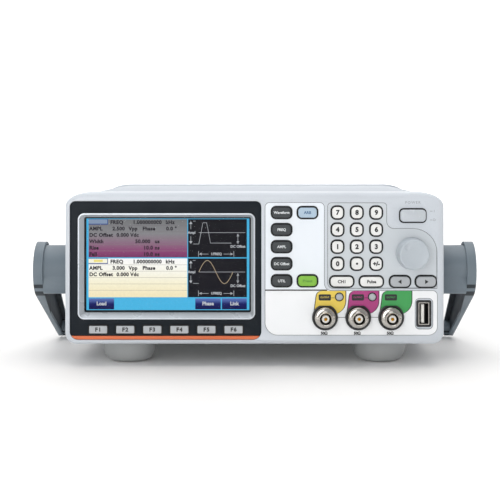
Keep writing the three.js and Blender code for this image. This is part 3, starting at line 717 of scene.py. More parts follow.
# ---- Display: fascia, accent strip and frame ---------------------------------------------------------------
# A dark fascia clips into the bezel over an orange accent strip. A silver-painted frame, its inner edge
# sloped, is glued round the window.
fascia = merged("display_fascia")
ease(fascia, 0.25 * mm, 2, 50)
fascia_plastic = coated("fascia_dark_grey", srgb(18, 26, 34), 0.5, 0.012, 1600)
fascia_plastic.node_tree.nodes["Principled BSDF"].inputs["Specular IOR Level"].default_value = 0.2
piece("fascia_moulding", fascia, fascia_plastic, replaces=["display_fascia"])
strip = merged("accent_strip")
ease(strip, 0.25 * mm, 2, 50)
orange_plastic = coated("orange_plastic", srgb(230, 116, 70), 0.38, 0.01, 1500)
piece("accent_strip_moulding", strip, orange_plastic, replaces=["accent_strip"])

frame_low, frame_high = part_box("display_frame")
opening_left, opening_right = frame_low.x + 4.4 * mm, frame_high.x - 2.9 * mm
opening_bottom, opening_top = frame_low.z + 4.9 * mm, frame_high.z - 2.7 * mm
silver_frame = rounded_sheet(
    frame_low.x,
    frame_high.x,
    frame_low.z,
    frame_high.z,
    [4.6 * mm] * 4,
    frame_high.y,
    frame_high.y - frame_low.y,
)
front_panel = min(silver_frame.faces, key=lambda f: f.calc_center_median().y)
rim_edges = list(front_panel.edges)
bmesh.ops.bevel(
    silver_frame,
    geom=rim_edges,
    offset=0.5 * mm,
    offset_type="OFFSET",
    segments=3,
    profile=0.5,
    affect="EDGES",
    material=-1,
)
front_panel = min(silver_frame.faces, key=lambda f: (f.calc_center_median().y, -f.calc_area()))
bmesh.ops.inset_region(silver_frame, faces=[front_panel], thickness=0.5 * mm, use_even_offset=True)
slopes = bmesh.ops.inset_region(silver_frame, faces=[front_panel], thickness=2.2 * mm, use_even_offset=True)
# The sloped inner edge takes the darker copy of the silver paint: painted shade on the slopes.
for slope in slopes["faces"]:
    slope.material_index = 1
for vert in front_panel.verts:
    across = (vert.co.x - frame_low.x - 3.2 * mm) / (frame_high.x - frame_low.x - 6.4 * mm)
    up = (vert.co.z - frame_low.z - 3.2 * mm) / (frame_high.z - frame_low.z - 6.4 * mm)
    vert.co.x = opening_left + across * (opening_right - opening_left)
    vert.co.z = opening_bottom + up * (opening_top - opening_bottom)
    vert.co.y = frame_high.y - 0.15 * mm
back_panel = max(silver_frame.faces, key=lambda f: f.calc_center_median().y)
bmesh.ops.delete(silver_frame, geom=[front_panel, back_panel], context="FACES")
open_edges = [e for e in silver_frame.edges if e.is_boundary]
bmesh.ops.bridge_loops(silver_frame, edges=open_edges)
bmesh.ops.recalc_face_normals(silver_frame, faces=silver_frame.faces)
silver_paint = coated("silver_paint", srgb(206, 212, 219), 0.32, 0.004, 2000)
# A darker copy of the same silver paint for the inner slopes: painted shade.
silver_bevel_painted_shade = coated("silver_bevel_painted_shade", srgb(160, 166, 172), 0.3, 0.004, 2000)
for finish in (silver_paint, silver_bevel_painted_shade):
    finish.node_tree.nodes["Principled BSDF"].inputs["Metallic"].default_value = 0.35
frame_finishes = [silver_paint, silver_bevel_painted_shade]
piece(
    "frame_moulding",
    silver_frame,
    frame_finishes,
    replaces=["display_frame"],
    smooth=25,
)

# ---- Window and colour display -----------------------------------------------------------------------------
# The window is clear acrylic, printed black round its edge. Behind it is a backlit colour panel. It shows two
# groups of settings on the left, a diagram of each waveform on the right, and the soft keys' names below.
clear_acrylic, tree, shader = plain_material("clear_acrylic", (0.02, 0.02, 0.025), 0.04)
shader.inputs["Alpha"].default_value = 0.012
shader.inputs["IOR"].default_value = 1.49
shader.inputs["Specular IOR Level"].default_value = 0.2
bump(tree, shader, noise(tree, 30, 2), 0.01 * mm)
dress("display_window", clear_acrylic)
panel_frame_black = coated("panel_frame_black", srgb(24, 26, 30), 0.5)
dress("lcd_module", panel_frame_black)

lcd_low, lcd_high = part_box("lcd_module")
screen_left, screen_right = lcd_low.x + 4.7 * mm, lcd_high.x - 4.3 * mm
screen_bottom, screen_top = lcd_low.z + 4.6 * mm, lcd_high.z - 4.7 * mm
screen_width = screen_right - screen_left
screen_height = screen_top - screen_bottom
screen_face = lcd_low.y - 0.05 * mm


def across(u):
    return screen_left + u * screen_width


def down(v):
    return screen_top - v * screen_height


def lit(name, stops, bottom=None, top=None, strength=1.0):
    """A lit area of the display in one colour, or in stops of colour from its bottom to its top."""
    material, tree, shader = plain_material(name, (0.01, 0.01, 0.01), 0.25)
    shader.inputs["Emission Strength"].default_value = strength
    shader.inputs["Specular IOR Level"].default_value = 0.05
    place = tree.nodes.new("ShaderNodeTexCoord")
    axes = tree.nodes.new("ShaderNodeSeparateXYZ")
    tree.links.new(place.outputs["Object"], axes.inputs["Vector"])
    ramp = tree.nodes.new("ShaderNodeValToRGB")
    while len(ramp.color_ramp.elements) < len(stops):
        ramp.color_ramp.elements.new(0.5)
    for element, (at, colour) in zip(ramp.color_ramp.elements, stops):
        element.position = at
        element.color = (*srgb(*colour), 1)
    low = down(1) if bottom is None else bottom
    high = down(0) if top is None else top
    tree.links.new(spread(tree, axes.outputs["Z"], 0, 1, low, high), ramp.inputs["Fac"])
    glow = spread(tree, noise(tree, 900, 1), 0.0, 0.05)
    glow_colour = blend_colours(tree, glow, ramp.outputs["Color"], (0, 0, 0))
    tree.links.new(glow_colour, shader.inputs["Emission Color"])
    return material


def screen_area(bm, u0, u1, v0, v1, level, index):
    """Adds one flat area of the picture: level says how many areas it lies over."""
    made = bmesh.ops.create_grid(bm, x_segments=1, y_segments=1, size=0.5)["verts"]
    bmesh.ops.scale(bm, vec=(across(u1) - across(u0), down(v0) - down(v1), 1), verts=made)
    bmesh.ops.rotate(bm, cent=(0, 0, 0), matrix=Matrix.Rotation(math.pi / 2, 3, "X"), verts=made)
    centre = ((across(u0) + across(u1)) / 2, screen_face - level * 0.03 * mm, (down(v0) + down(v1)) / 2)
    bmesh.ops.translate(bm, vec=centre, verts=made)
    for face in made[0].link_faces:
        face.material_index = index


top_v0, top_v1 = 0.006, 0.424
low_v0, low_v1 = 0.436, 0.860
bar_v0, bar_v1 = 0.872, 0.992
settings_right = 0.619
plot_left, plot_right = 0.624, 0.985
sky = lit("lit_sky_blue", [(0, (74, 184, 230)), (1, (70, 178, 226))])
black_area = lit("lit_black", [(0, (12, 12, 24)), (1, (8, 8, 18))])
mauve_rows = lit(
    "lit_mauve",
    [
        (0, (120, 54, 98)),
        (0.16, (140, 68, 116)),
        (0.4, (140, 112, 132)),
        (0.62, (134, 134, 138)),
        (1, (116, 118, 120)),
    ],
    down(top_v1),
    down(top_v0),
)
cream_rows = lit(
    "lit_cream",
    [(0, (246, 232, 190)), (0.35, (250, 244, 214)), (0.7, (252, 251, 240)), (1, (254, 254, 254))],
    down(low_v1),
    down(low_v0),
)
row_lines = lit("lit_row_line", [(0, (176, 168, 150)), (1, (110, 104, 112))])
navy_shades = [(0, (10, 14, 70)), (0.5, (16, 24, 96)), (1, (96, 120, 190))]
navy = lit("lit_navy", navy_shades, down(bar_v1), down(bar_v0))
tab_blue = lit("lit_tab_blue", [(0, (132, 150, 176)), (1, (132, 150, 176))])
tab_white = lit("lit_tab_white", [(0, (250, 248, 226)), (1, (250, 248, 226))])
tab_mark = lit("lit_tab_mark", [(0, (240, 224, 130)), (1, (240, 224, 130))])
tab_edge = lit("lit_tab_edge", [(0, (40, 70, 140)), (1, (40, 70, 140))])
areas = [sky, black_area, mauve_rows, cream_rows, row_lines, navy, tab_blue, tab_white, tab_mark, tab_edge]
picture = bmesh.new()
screen_area(picture, 0, 1, 0, 1, 0, 0)
screen_area(picture, 0.013, settings_right, top_v0, top_v1, 1, 2)
screen_area(picture, 0.013, settings_right, low_v0, low_v1, 1, 3)
screen_area(picture, plot_left, plot_right, top_v0, top_v1, 1, 1)
screen_area(picture, plot_left, plot_right, low_v0, low_v1, 1, 1)
row_height = (top_v1 - top_v0) / 6
for first in (top_v0, low_v0):
    for row in range(1, 6):
        v = first + row * row_height
        screen_area(picture, 0.013, settings_right, v - 0.0015, v + 0.0015, 2, 4)
    screen_area(picture, 0.013, 0.132, first, first + row_height * 0.86, 3, 9)
screen_area(picture, 0.013, 0.128, top_v0 + 0.004, top_v0 + row_height * 0.72, 4, 6)
screen_area(picture, 0.013, 0.128, low_v0 + 0.004, low_v0 + row_height * 0.72, 4, 7)
screen_area(picture, 0.045, 0.1, low_v0 + 0.014, low_v0 + row_height * 0.55, 5, 8)
soft_tabs = ((0.015, 0.17, "Load"), (0.668, 0.825, "Phase"), (0.832, 0.985, "Link"))
for left, right, words in soft_tabs:
    screen_area(picture, left, right, bar_v0, bar_v1, 2, 5)
piece("screen_picture", picture, areas)

text_height = 2.45 * mm
dark_text = bmesh.new()
text_face = screen_face - 0.25 * mm
top_rows = (
    ((0.147, "FREQ"), (0.285, "1.000000000"), (0.487, "kHz")),
    ((0.018, "AMPL"), (0.16, "2.500"), (0.26, "Vpp"), (0.345, "Phase"), (0.49, "0.0 \u00b0")),
    ((0.018, "DC Offset"), (0.185, "0.000"), (0.27, "Vdc")),
    ((0.018, "Width"), (0.3, "50.000"), (0.42, "us")),
    ((0.018, "Rise"), (0.35, "10.0"), (0.42, "ns")),
    ((0.018, "Fall"), (0.35, "10.0"), (0.42, "ns")),
)
low_rows = (
    ((0.147, "FREQ"), (0.285, "1.000000000"), (0.487, "kHz")),
    ((0.018, "AMPL"), (0.16, "3.000"), (0.26, "Vpp"), (0.345, "Phase"), (0.49, "0.0 \u00b0")),
    ((0.018, "DC Offset"), (0.185, "0.000"), (0.27, "Vdc")),
)
for first, rows in ((top_v0, top_rows), (low_v0, low_rows)):
    for row, entries in enumerate(rows):
        z = down(first + (row + 0.52) * row_height)
        for u, words in entries:
            add_words(dark_text, words, text_height, across(u), text_face, z, "LEFT", 0.17 * mm, 1.1)
piece("screen_dark_text", dark_text, lit("lit_dark_text", [(0, (20, 20, 26)), (1, (44, 40, 48))]))

light_text = bmesh.new()
for left, right, words in soft_tabs:
    tab_middle = across((left + right) / 2)
    add_words(light_text, words, text_height, tab_middle, text_face, down(0.93), weight=0.14 * mm)
line_width = 0.34 * mm
for first in (top_v0, low_v0):
    def spot(u, v):
        return (across(u), text_face, down(first + v))

    def arrow(u0, v0, u1, v1, room):
        """A dimension line with a head at each end and room for words in its middle."""
        for start, end in ((0, 0.5 - room), (0.5 + room, 1)):
            first_end = spot(u0 + start * (u1 - u0), v0 + start * (v1 - v0))
            other_end = spot(u0 + end * (u1 - u0), v0 + end * (v1 - v0))
            add_line(light_text, [first_end, other_end], line_width * 0.8)
        for u, v, way in ((u0, v0, 1), (u1, v1, -1)):
            head = bmesh.ops.create_circle(light_text, cap_ends=True, radius=1.25 * mm, segments=3)["verts"]
            turn = 0 if u0 == u1 else -math.pi / 2
            tip = Matrix.Rotation(turn + (0 if way > 0 else math.pi), 3, "Y")
            upright = Matrix.Rotation(math.pi / 2, 3, "X")
            bmesh.ops.rotate(light_text, cent=(0, 0, 0), matrix=upright, verts=head)
            bmesh.ops.rotate(light_text, cent=(0, 0, 0), matrix=tip, verts=head)
            inward = Vector((way, 0, 0)) if u0 != u1 else Vector((0, 0, -way))
            bmesh.ops.translate(light_text, vec=Vector(spot(u, v)) + inward * 1.2 * mm, verts=head)

    arrow(0.641, 0.025, 0.641, 0.27, 0.16)
    add_words(light_text, "Ampl", 1.7 * mm, *spot(0.646, 0.148), weight=0.07 * mm)
    arrow(0.692, 0.382, 0.9, 0.382, 0.22)
    add_words(light_text, "1/FREQ", 1.7 * mm, *spot(0.797, 0.382), weight=0.07 * mm)
    arrow(0.93, 0.16, 0.93, 0.27, 0)
    add_words(light_text, "DC Offset", 1.7 * mm, *spot(0.93, 0.3), weight=0.07 * mm)
    for u in (0.688, 0.905):
        add_line(light_text, [spot(u, 0.35), spot(u, 0.41)], line_width * 0.8)
    add_line(light_text, [spot(0.655, 0.022), spot(0.67, 0.022)], line_width * 0.8)
    add_line(light_text, [spot(0.655, 0.272), spot(0.69, 0.272)], line_width * 0.8)
    add_line(light_text, [spot(0.69, 0.148), spot(0.975, 0.148)], line_width * 0.8)
pulse = [(0.69, 0.272), (0.715, 0.04), (0.738, 0.04), (0.762, 0.262), (0.89, 0.262)]
add_line(light_text, [(across(u), text_face, down(top_v0 + v)) for u, v in pulse], line_width)
piece("screen_light_text", light_text, lit("lit_light_text", [(0, (196, 200, 206)), (1, (186, 190, 196))]))

sine = bmesh.new()
steps = 40
wave = []
for step in range(steps + 1):
    turn = step / steps
    height = 0.148 - 0.126 * math.sin(2 * math.pi * turn)
    wave.append((across(0.69 + 0.21 * turn), text_face, down(low_v0 + height)))
add_line(sine, wave, line_width)
piece("screen_sine", sine, lit("lit_sine", [(0, (206, 186, 152)), (1, (206, 186, 152))]))

# ---- Keys --------------------------------------------------------------------------------------------------
# Each key is a moulded cap with eased edges and a slightly crowned face. Its legend is printed on the cap and
# sealed under a clear coat. A flange behind the bezel holds the cap in; the CAD key, flange and all, is
# hidden.


def rubber(name, colour, roughness=0.48):
    """Coated silicone rubber: fine tooth, and a thumb-polished face with uneven gloss."""
    material, tree, shader = plain_material(name, colour, roughness)
    wear = spread(tree, noise(tree, 160, 3), 0, 1)
    mottled = blend_colours(tree, wear, shade(colour, 0.93), shade(colour, 1.02))
    tree.links.new(mottled, shader.inputs["Base Color"])
    gloss = spread(tree, noise(tree, 240, 2), roughness - 0.08, roughness + 0.08)
    tree.links.new(gloss, shader.inputs["Roughness"])
    bump(tree, shader, noise(tree, 2400, 2), 0.01 * mm)
    return material


def crown_front(bm, rise, rings=4):
    """Domes the front face of a block in shrinking rings."""
    face = min(bm.faces, key=lambda f: f.calc_center_median().y)
    for ring in range(1, rings + 1):
        share = ring / (rings + 1)
        face = bmesh.ops.extrude_discrete_faces(bm, faces=[face])["faces"][0]
        centre = face.calc_center_median()
        shrink = (1 - share) / (1 - (ring - 1) / (rings + 1))
        climb = rise * (1 - (1 - share) ** 2 - (1 - (1 - (ring - 1) / (rings + 1)) ** 2))
        bmesh.ops.scale(bm, vec=(shrink, 1, shrink), space=Matrix.Translation(-centre), verts=face.verts)
        bmesh.ops.translate(bm, vec=(0, -climb, 0), verts=face.verts)


flange_reach = 1.5 * mm
base_reach = 0.76 * mm
cap_ease = 0.22 * mm
# Near-black rubber for the bases round the caps: partly the keypad's dark mat, partly painted shade in the
# gaps round the keys.
gap_shade_rubber = rubber("gap_shade_rubber", srgb(16, 17, 19), 0.7)


def key_base(node, body, width, height, radius):
    """The black base that fills the hole round a cap and moves with it. Its black is partly the dark keypad
    mat seen through a real key's gap and partly painted shade in that gap.
    """
    low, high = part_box(node)
    front = face_y - 0.05 * mm
    depth = high.y - front - 0.1 * mm
    base_width = width + 2 * base_reach
    base_height = height + 2 * base_reach
    base = rounded_block(base_width, depth, base_height, radius + base_reach, 0.12 * mm, 8, 2)
    place = ((low.x + high.x) / 2, front + depth / 2, (low.z + high.z) / 2)
    piece(node + "_base", moved(base, place), gap_shade_rubber, body)


def keycap(node, radius, material, crown=0.12 * mm, edge=0.45 * mm):
    """A key's cap over its wider dark base. Returns the middle of its face."""
    low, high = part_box(node)
    width = high.x - low.x - 2 * flange_reach
    height = high.z - low.z - 2 * flange_reach
    depth = high.y - low.y
    cap = rounded_block(width - 2 * cap_ease, depth, height - 2 * cap_ease, radius - cap_ease, edge, 8, 4)
    crown_front(cap, crown)
    centre = (low + high) / 2
    piece(node + "_cap", moved(cap, centre), material, node, [node], smooth=50)
    key_base(node, node, width, height, radius)
    return Vector((centre.x, low.y - crown - 0.03 * mm, centre.z))


def legend(node, words, height, face, material, weight=0.05 * mm, spacing=1.0):
    """Printed words on a key's cap."""
    bm = bmesh.new()
    add_words(bm, words, height, face.x, face.y, face.z, weight=weight, spacing=spacing)
    piece(node + "_legend", bm, material, node)


white_ink = ink("white_ink", srgb(226, 230, 232))
blue_ink = ink("blue_ink", srgb(74, 110, 150))
green_ink = ink("green_ink", srgb(88, 150, 52))
charcoal = rubber("charcoal_rubber", srgb(54, 59, 62))
off_white = rubber("off_white_rubber", srgb(240, 240, 238))
soft_grey = rubber("soft_grey_rubber", srgb(184, 188, 192))
pale_blue = rubber("pale_blue_rubber", srgb(178, 200, 218))
leaf_green = rubber("leaf_green_rubber", srgb(132, 192, 62))
arrow_grey = rubber("arrow_grey_rubber", srgb(180, 184, 188))

for number in range(1, 7):
    node = f"key_f{number}"
    face = keycap(node, 0.9 * mm, soft_grey, 0.05 * mm, 0.35 * mm)
    legend(node, f"F{number}", 2.6 * mm, face, dark_ink, 0.2 * mm, 1.3)
menu_words = {
    "key_waveform": "Waveform",
    "key_frequency": "FREQ",
    "key_amplitude": "AMPL",
    "key_offset": "DC Offset",
    "key_utility": "UTIL",
}
for node, words in menu_words.items():
    face = keycap(node, 2.6 * mm, charcoal)
    legend(node, words, 1.75 * mm, face, white_ink, 0.07 * mm)
face = keycap("key_arbitrary", 2.6 * mm, pale_blue)
legend("key_arbitrary", "ARB", 1.9 * mm, face, blue_ink, 0.1 * mm)
face = keycap("key_preset", 2.6 * mm, leaf_green)
legend("key_preset", "Preset", 1.8 * mm, face, green_ink, 0.06 * mm)
digit_words = {f"key_{digit}": str(digit) for digit in range(10)}
digit_words["key_point"] = "\u2022"
digit_words["key_sign"] = "+/-"
for node, words in digit_words.items():
    face = keycap(node, 2.9 * mm, off_white)
    legend(node, words, 3.1 * mm if len(words) == 1 else 2.7 * mm, face, dark_ink, 0.24 * mm)
for node, words in (("key_channel", "CH1"), ("key_pulse", "Pulse")):
    face = keycap(node, 2.8 * mm, off_white)
    legend(node, words, 2.1 * mm, face, dark_ink, 0.1 * mm)
for node, way in (("key_left", -1), ("key_right", 1)):
    face = keycap(node, 3.1 * mm, arrow_grey)
    mark = bmesh.new()
    bmesh.ops.create_cone(
        mark, cap_ends=True, segments=3, radius1=1.6 * mm, radius2=1.6 * mm, depth=0.05 * mm
    )
    bmesh.ops.scale(mark, vec=(1.15, 1, 1), verts=mark.verts)
    bmesh.ops.rotate(mark, cent=(0, 0, 0), matrix=Matrix.Rotation(math.pi / 2, 3, "X"), verts=mark.verts)
    quarter_turn = Matrix.Rotation(way * math.pi / 2, 3, "Y")
    bmesh.ops.rotate(mark, cent=(0, 0, 0), matrix=quarter_turn, verts=mark.verts)
    piece(node + "_legend", moved(mark, face), dark_ink, node)

# ---- Output buttons and power button -----------------------------------------------------------------------
# The output buttons are small round caps that light from behind when an output is on. The power button is a
# wide moulded rocker cap with bowed ends and a convex face.
for number, node in enumerate(("output_button_1", "output_button_2"), 1):
    low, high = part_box(node)
    radius = (high.x - low.x) / 2 - flange_reach
    depth = high.y - low.y
    cap = turned(
        [(0, -0.35 * mm), (radius * 0.6, -0.22 * mm), (radius - 0.35 * mm, 0), (radius, 0.4 * mm),
         (radius, depth), (0, depth)],
        steps=32,
    )
    centre = (low + high) / 2
    place = (centre.x, low.y + 0.35 * mm, centre.z)
    piece(node + "_cap", moved(cap, place), soft_grey, node, [node], smooth=50)
    key_base(node, node, 2 * radius, 2 * radius, radius - 0.02 * mm)
button_plastic = coated("button_light_grey", srgb(196, 202, 208), 0.24, 0.01, 1500)
power_width = power_high.x - power_low.x - 2 * flange_reach
power_height = power_high.z - power_low.z - 2 * flange_reach
power_depth = power_high.y - power_low.y
power_cap = rounded_block(power_width - 0.5 * mm, power_depth, power_height - 0.5 * mm, 2.2 * mm, 0.0, 8)
for vert in power_cap.verts:
    bow = 1 - (vert.co.z / (power_height / 2)) ** 2
    vert.co.x += math.copysign(0.55 * mm, vert.co.x) * (bow - 0.5) * (abs(vert.co.x) / (power_width / 2))
power_face = min(power_cap.faces, key=lambda f: f.calc_center_median().y)
bmesh.ops.bevel(
    power_cap,
    geom=list(power_face.edges),
    offset=1.3 * mm,
    offset_type="OFFSET",
    segments=5,
    profile=0.5,
    affect="EDGES",
    material=-1,
)
crown_front(power_cap, 0.5 * mm)
power_cap_placed = moved(power_cap, power_centre)
piece("power_button_cap", power_cap_placed, button_plastic, "power", ["power_button"], 50)
key_base("power_button", "power", power_width, power_height, 2.4 * mm)

# ---- Adjusting knob ----------------------------------------------------------------------------------------
# The knob is a smooth moulding on the encoder's shaft, with a thin skirt, a dished face with a rounded
# rim, and a small finger dimple near the rim.
knob_low, knob_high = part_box("adjusting_knob")
knob_centre = (knob_low + knob_high) / 2
knob_front = knob_low.y - face_y
knob_radius = (knob_high.x - knob_low.x) / 2
knob_profile = [(0, knob_front + 0.75 * mm)]
for step in range(1, 13):
    share = step / 12
    knob_profile.append((share * (knob_radius - 2.2 * mm), knob_front + 0.75 * mm * (1 - share ** 3)))
rim_round = 1.3 * mm
for step in range(1, 7):
    angle = step / 6 * math.pi / 2
    out = knob_radius - 2.2 * mm + rim_round * math.sin(angle)
    knob_profile.append((out, knob_front + rim_round * (1 - math.cos(angle))))
knob_profile += [
    (knob_radius - 0.7 * mm, -8 * mm),
    (knob_radius - 0.55 * mm, -2.2 * mm),
    (knob_radius - 0.3 * mm, -1.6 * mm),
    (knob_radius, -1.4 * mm),
    (knob_radius, -0.3 * mm),
    (0, -0.3 * mm),
]
knob = turned(knob_profile, steps=72)
dimple_place = Vector((-5.2 * mm, 0, 5.2 * mm))
for vert in knob.verts:
    if vert.co.y < knob_front + 2 * mm:
        reach = math.hypot(vert.co.x - dimple_place.x, vert.co.z - dimple_place.z) / (2.6 * mm)
        if reach < 1:
            vert.co.y += 0.8 * mm * (1 - reach * reach) ** 2
knob_plastic = coated("knob_grey", srgb(184, 192, 199), 0.36, 0.012, 1500)
moved(knob, (knob_centre.x, face_y, knob_centre.z))
piece("knob_moulding", knob, knob_plastic, "knob", ["adjusting_knob"], 50)

# ---- Front sockets -----------------------------------------------------------------------------------------
# Three BNC sockets stand in black insulating collars with a flat at the top, because their shells float from
# the case. The host USB socket is a plated shell with a white tongue, in a recess beside them.
collar_black = coated("collar_black", srgb(30, 31, 34), 0.3, 0.01, 1200)
for node, centre in zip(bnc_nodes, bnc_centres):
    collar = turned(
        [(7.25 * mm, 0.55 * mm), (7.25 * mm, -1.2 * mm), (7.6 * mm, -1.6 * mm), (8.5 * mm, -1.9 * mm),
         (8.95 * mm, -1.75 * mm), (9.1 * mm, -1.4 * mm), (9.1 * mm, 0.55 * mm), (7.25 * mm, 0.55 * mm)],
        steps=56,
    )
    whole = collar.verts[:] + collar.edges[:] + collar.faces[:]
    cut = bmesh.ops.bisect_plane(
        collar, geom=whole, plane_co=(0, 0, 8.2 * mm), plane_no=(0, 0, 1), clear_outer=True
    )["geom_cut"]
    bmesh.ops.holes_fill(collar, edges=[e for e in cut if isinstance(e, bmesh.types.BMEdge)])
    place = Vector((centre.x, face_y, bnc_z))
    piece(node + "_collar", moved(collar, place), collar_black)
    bnc_socket(node, place, None, [node])

usb_low, usb_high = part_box("usb_socket")
usb_centre = (usb_low + usb_high) / 2
usb_width, usb_height = usb_high.x - usb_low.x, usb_high.z - usb_low.z
usb_depth = usb_high.y - usb_low.y
usb_shell = rounded_block(usb_width, usb_depth, usb_height, 0.5 * mm)
mouth = min(usb_shell.faces, key=lambda f: f.calc_center_median().y)
bmesh.ops.inset_region(usb_shell, faces=[mouth], thickness=0.45 * mm, use_even_offset=True)
sunk = bmesh.ops.extrude_discrete_faces(usb_shell, faces=[mouth])["faces"]
bmesh.ops.translate(usb_shell, vec=(0, usb_depth * 0.8, 0), verts=sunk[0].verts)
# The sunk mouth's walls take the near-black second finish: painted shade inside the shell.
for wall in {f for v in sunk[0].verts for f in v.link_faces}:
    wall.material_index = 1
# A thin black ring lies on the recess floor round the shell: painted shade round the socket's mouth.
shade_ring_grow = 1.7 * mm
shade_ring_y = usb_low.y + 0.45 * mm
shade_ring = rounded_sheet(
    usb_low.x - shade_ring_grow,
    usb_high.x + shade_ring_grow,
    usb_low.z - shade_ring_grow,
    usb_high.z + shade_ring_grow,
    [1.6 * mm] * 4,
    shade_ring_y,
    0.1 * mm,
)
shade_ring_front = min(shade_ring.faces, key=lambda f: f.calc_center_median().y)
shade_ring_back = max(shade_ring.faces, key=lambda f: f.calc_center_median().y)
bmesh.ops.inset_region(shade_ring, faces=[shade_ring_front], thickness=shade_ring_grow + 0.2 * mm, use_even_offset=True)
bmesh.ops.delete(shade_ring, geom=[shade_ring_front, shade_ring_back], context="FACES")
piece("usb_shade_ring", shade_ring, collar_black)
usb_metal_and_shade = [nickel, recess_painted_shade]
piece("usb_shell", moved(usb_shell, usb_centre), usb_metal_and_shade, replaces=["usb_socket"])
tongue = rounded_block(2.1 * mm, 9 * mm, usb_height - 2.6 * mm, 0.25 * mm, 0.3 * mm)
tongue_place = (usb_low.x + 2.9 * mm, usb_low.y + 5.0 * mm, usb_centre.z)
piece("usb_tongue", moved(tongue, tongue_place), white_insulator)
for number in range(4):
    contact = rounded_block(0.12 * mm, 7 * mm, 1.1 * mm, 0.04 * mm)
    contact_z = usb_centre.z + (number - 1.5) * 2.5 * mm
    contact_place = (usb_low.x + 4.0 * mm, usb_low.y + 5.4 * mm, contact_z)
    piece(f"usb_contact_{number + 1}", moved(contact, contact_place), gold_plate)

# ---- Feet --------------------------------------------------------------------------------------------------
# The feet are grey moulded bowls screwed to the tray through their middles, each with a rubber pad glued in
# its base so that the instrument doesn't slide.
foot_plastic = coated("foot_grey", srgb(166, 168, 168), 0.5, 0.03, 1200)
pad_rubber = rubber("pad_rubber", srgb(52, 53, 55), 0.7)
for end in ("front", "rear"):
    for side in ("left", "right"):
        node = f"{end}_foot_{side}"
        low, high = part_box(node)
        centre = (low + high) / 2
        foot = turned(
            [(0, 0.9 * mm), (10.4 * mm, 0.9 * mm), (10.6 * mm, 0.35 * mm), (11.4 * mm, 0.25 * mm),
             (13.4 * mm, 0.6 * mm), (15.4 * mm, 1.7 * mm), (16.9 * mm, 3.4 * mm), (18.0 * mm, 5.8 * mm),
             (18.8 * mm, 8.6 * mm), (19.3 * mm, 12 * mm), (19.5 * mm, 15.2 * mm), (19.2 * mm, 15.7 * mm),
             (9 * mm, 15.7 * mm), (9 * mm, high.z), (0, high.z)],
            "Z",
            64,
        )
        foot_placed = moved(foot, (centre.x, centre.y, 0))
        piece(node + "_moulding", foot_placed, foot_plastic, "case", [node], 50)
        pad_outline = [(0, 0), (9.4 * mm, 0), (10 * mm, 0.35 * mm), (10 * mm, 1.2 * mm), (0, 1.2 * mm)]
        pad = turned(pad_outline, "Z", 48)
        piece(node + "_pad", moved(pad, (centre.x, centre.y, 0)), pad_rubber)

# ---- Carrying handle ---------------------------------------------------------------------------------------
# Two spark-textured, glass-filled plastic arms turn on the studs. Each has a drum, a ribbed open back and a
# tapered lower edge. A bar of the same plastic joins them, and lies under the case when the handle is stowed.
handle_plastic = coated("handle_slate", srgb(110, 122, 131), 0.46, 0.035, 1300)
# A much darker slate for the arms' insides: painted shade, not a second plastic.
painted_shade_slate = coated("handle_painted_shade_slate", srgb(42, 49, 55), 0.6, 0.035, 1300)
for side in ("left", "right"):
    node = f"handle_arm_{side}"
    arm = merged(node)
    arm_low, arm_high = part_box(node)
    outward = 1 if side == "right" else -1
    # The web's inner face and the hollow's walls take the darker slate: painted shade inside each arm.
    outer_face = arm_high.x if side == "right" else -arm_low.x
    for face in arm.faces:
        out = face.calc_center_median().x * outward
        web = outer_face - 3.2 * mm < out and face.normal.x * outward < -0.7
        hollow_wall = outer_face - 6 * mm < out < outer_face - 4 * mm
        if web or hollow_wall:
            face.material_index = 1
    ease(arm, 0.7 * mm, 3, 45)
    piece(f"arm_moulding_{side}", arm, [handle_plastic, painted_shade_slate], "handle", [node], 45)
grip = merged("handle_grip")
ease(grip, 0.5 * mm, 2, 60)
piece("grip_moulding", grip, handle_plastic, "handle", ["handle_grip"], 45)

# ---- Floor, light and camera -------------------------------------------------------------------------------
# A plain white bench top under a large soft light, seen from in front and a little above the instrument.
floor_mesh = bmesh.new()
bmesh.ops.create_circle(floor_mesh, cap_ends=True, radius=9, segments=64)
floor_data = bpy.data.meshes.new("floor")
floor_mesh.to_mesh(floor_data)
floor_mesh.free()
floor = bpy.data.objects.new("floor", floor_data)
bpy.context.scene.collection.objects.link(floor)
floor_white, tree, shader = plain_material("floor_white", (0.93, 0.92, 0.91), 0.7)
floor_tone = blend_colours(tree, noise(tree, 3, 2), (0.92, 0.91, 0.9), (0.95, 0.94, 0.93))
tree.links.new(floor_tone, shader.inputs["Base Color"])
floor_data.materials.append(floor_white)
shader.inputs["Emission Color"].default_value = (1, 1, 1, 1)
place = tree.nodes.new("ShaderNodeTexCoord")
reach = tree.nodes.new("ShaderNodeVectorMath")
reach.operation = "LENGTH"
tree.links.new(place.outputs["Object"], reach.inputs[0])
floor_glow = spread(tree, reach.outputs["Value"], 0.03, 0.45, 0.3, 1.5)
tree.links.new(floor_glow, shader.inputs["Emission Strength"])
backdrop_mesh = bmesh.new()
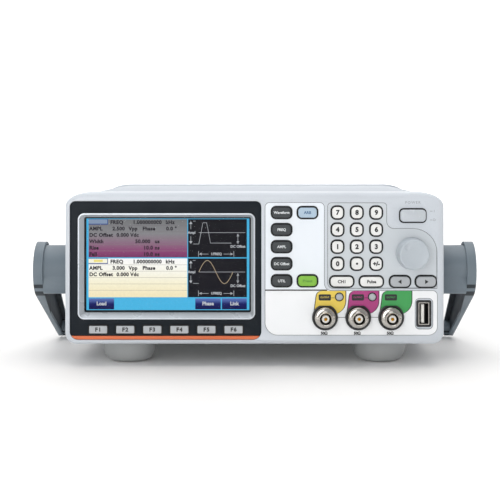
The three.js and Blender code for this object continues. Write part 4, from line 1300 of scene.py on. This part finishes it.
bmesh.ops.create_grid(backdrop_mesh, x_segments=1, y_segments=1, size=9)
standing = Matrix.Rotation(math.pi / 2, 3, "X")
bmesh.ops.rotate(backdrop_mesh, cent=(0, 0, 0), matrix=standing, verts=backdrop_mesh.verts)
bmesh.ops.translate(backdrop_mesh, vec=(0, 3, 0), verts=backdrop_mesh.verts)
backdrop_data = bpy.data.meshes.new("backdrop")
backdrop_mesh.to_mesh(backdrop_data)
backdrop_mesh.free()
backdrop = bpy.data.objects.new("backdrop", backdrop_data)
bpy.context.scene.collection.objects.link(backdrop)
backdrop_glow, tree, shader = plain_material("backdrop_glow", (0.8, 0.8, 0.8), 0.9)
shader.inputs["Emission Color"].default_value = (1, 1, 0.995, 1)
shader.inputs["Emission Strength"].default_value = 0.72
backdrop_data.materials.append(backdrop_glow)

world = bpy.data.worlds.new("studio")
bpy.context.scene.world = world
world.use_nodes = True
world.node_tree.nodes["Background"].inputs["Color"].default_value = (1, 1, 1, 1)
world.node_tree.nodes["Background"].inputs["Strength"].default_value = 0.46
bpy.context.scene.view_settings.view_transform = "Standard"


def soft_light(name, place, target, size, power):
    data = bpy.data.lights.new(name, "AREA")
    data.shape = "SQUARE"
    data.size = size
    data.energy = power
    lamp = bpy.data.objects.new(name, data)
    bpy.context.scene.collection.objects.link(lamp)
    lamp.location = place
    lamp.rotation_euler = (Vector(target) - Vector(place)).to_track_quat("-Z", "Y").to_euler()


soft_light("overhead", (-0.05, -0.05, 1.5), (0, 0, 0.05), 1.4, 12)
soft_light("front_left", (-0.45, -1.7, 0.4), (0, 0, 0.07), 0.9, 7.5)

camera_data = bpy.data.cameras.new("camera")
camera = bpy.data.objects.new("camera", camera_data)
bpy.context.scene.collection.objects.link(camera)
bpy.context.scene.camera = camera
camera.location = (6.7 * mm, face_y - 900 * mm, 147.8 * mm)
camera.rotation_euler = (math.pi / 2, 0, 0)
camera_data.sensor_width = 36
camera_data.lens = 92.1
camera_data.shift_x = -0.028
camera_data.shift_y = -0.186
camera_data.clip_end = 30
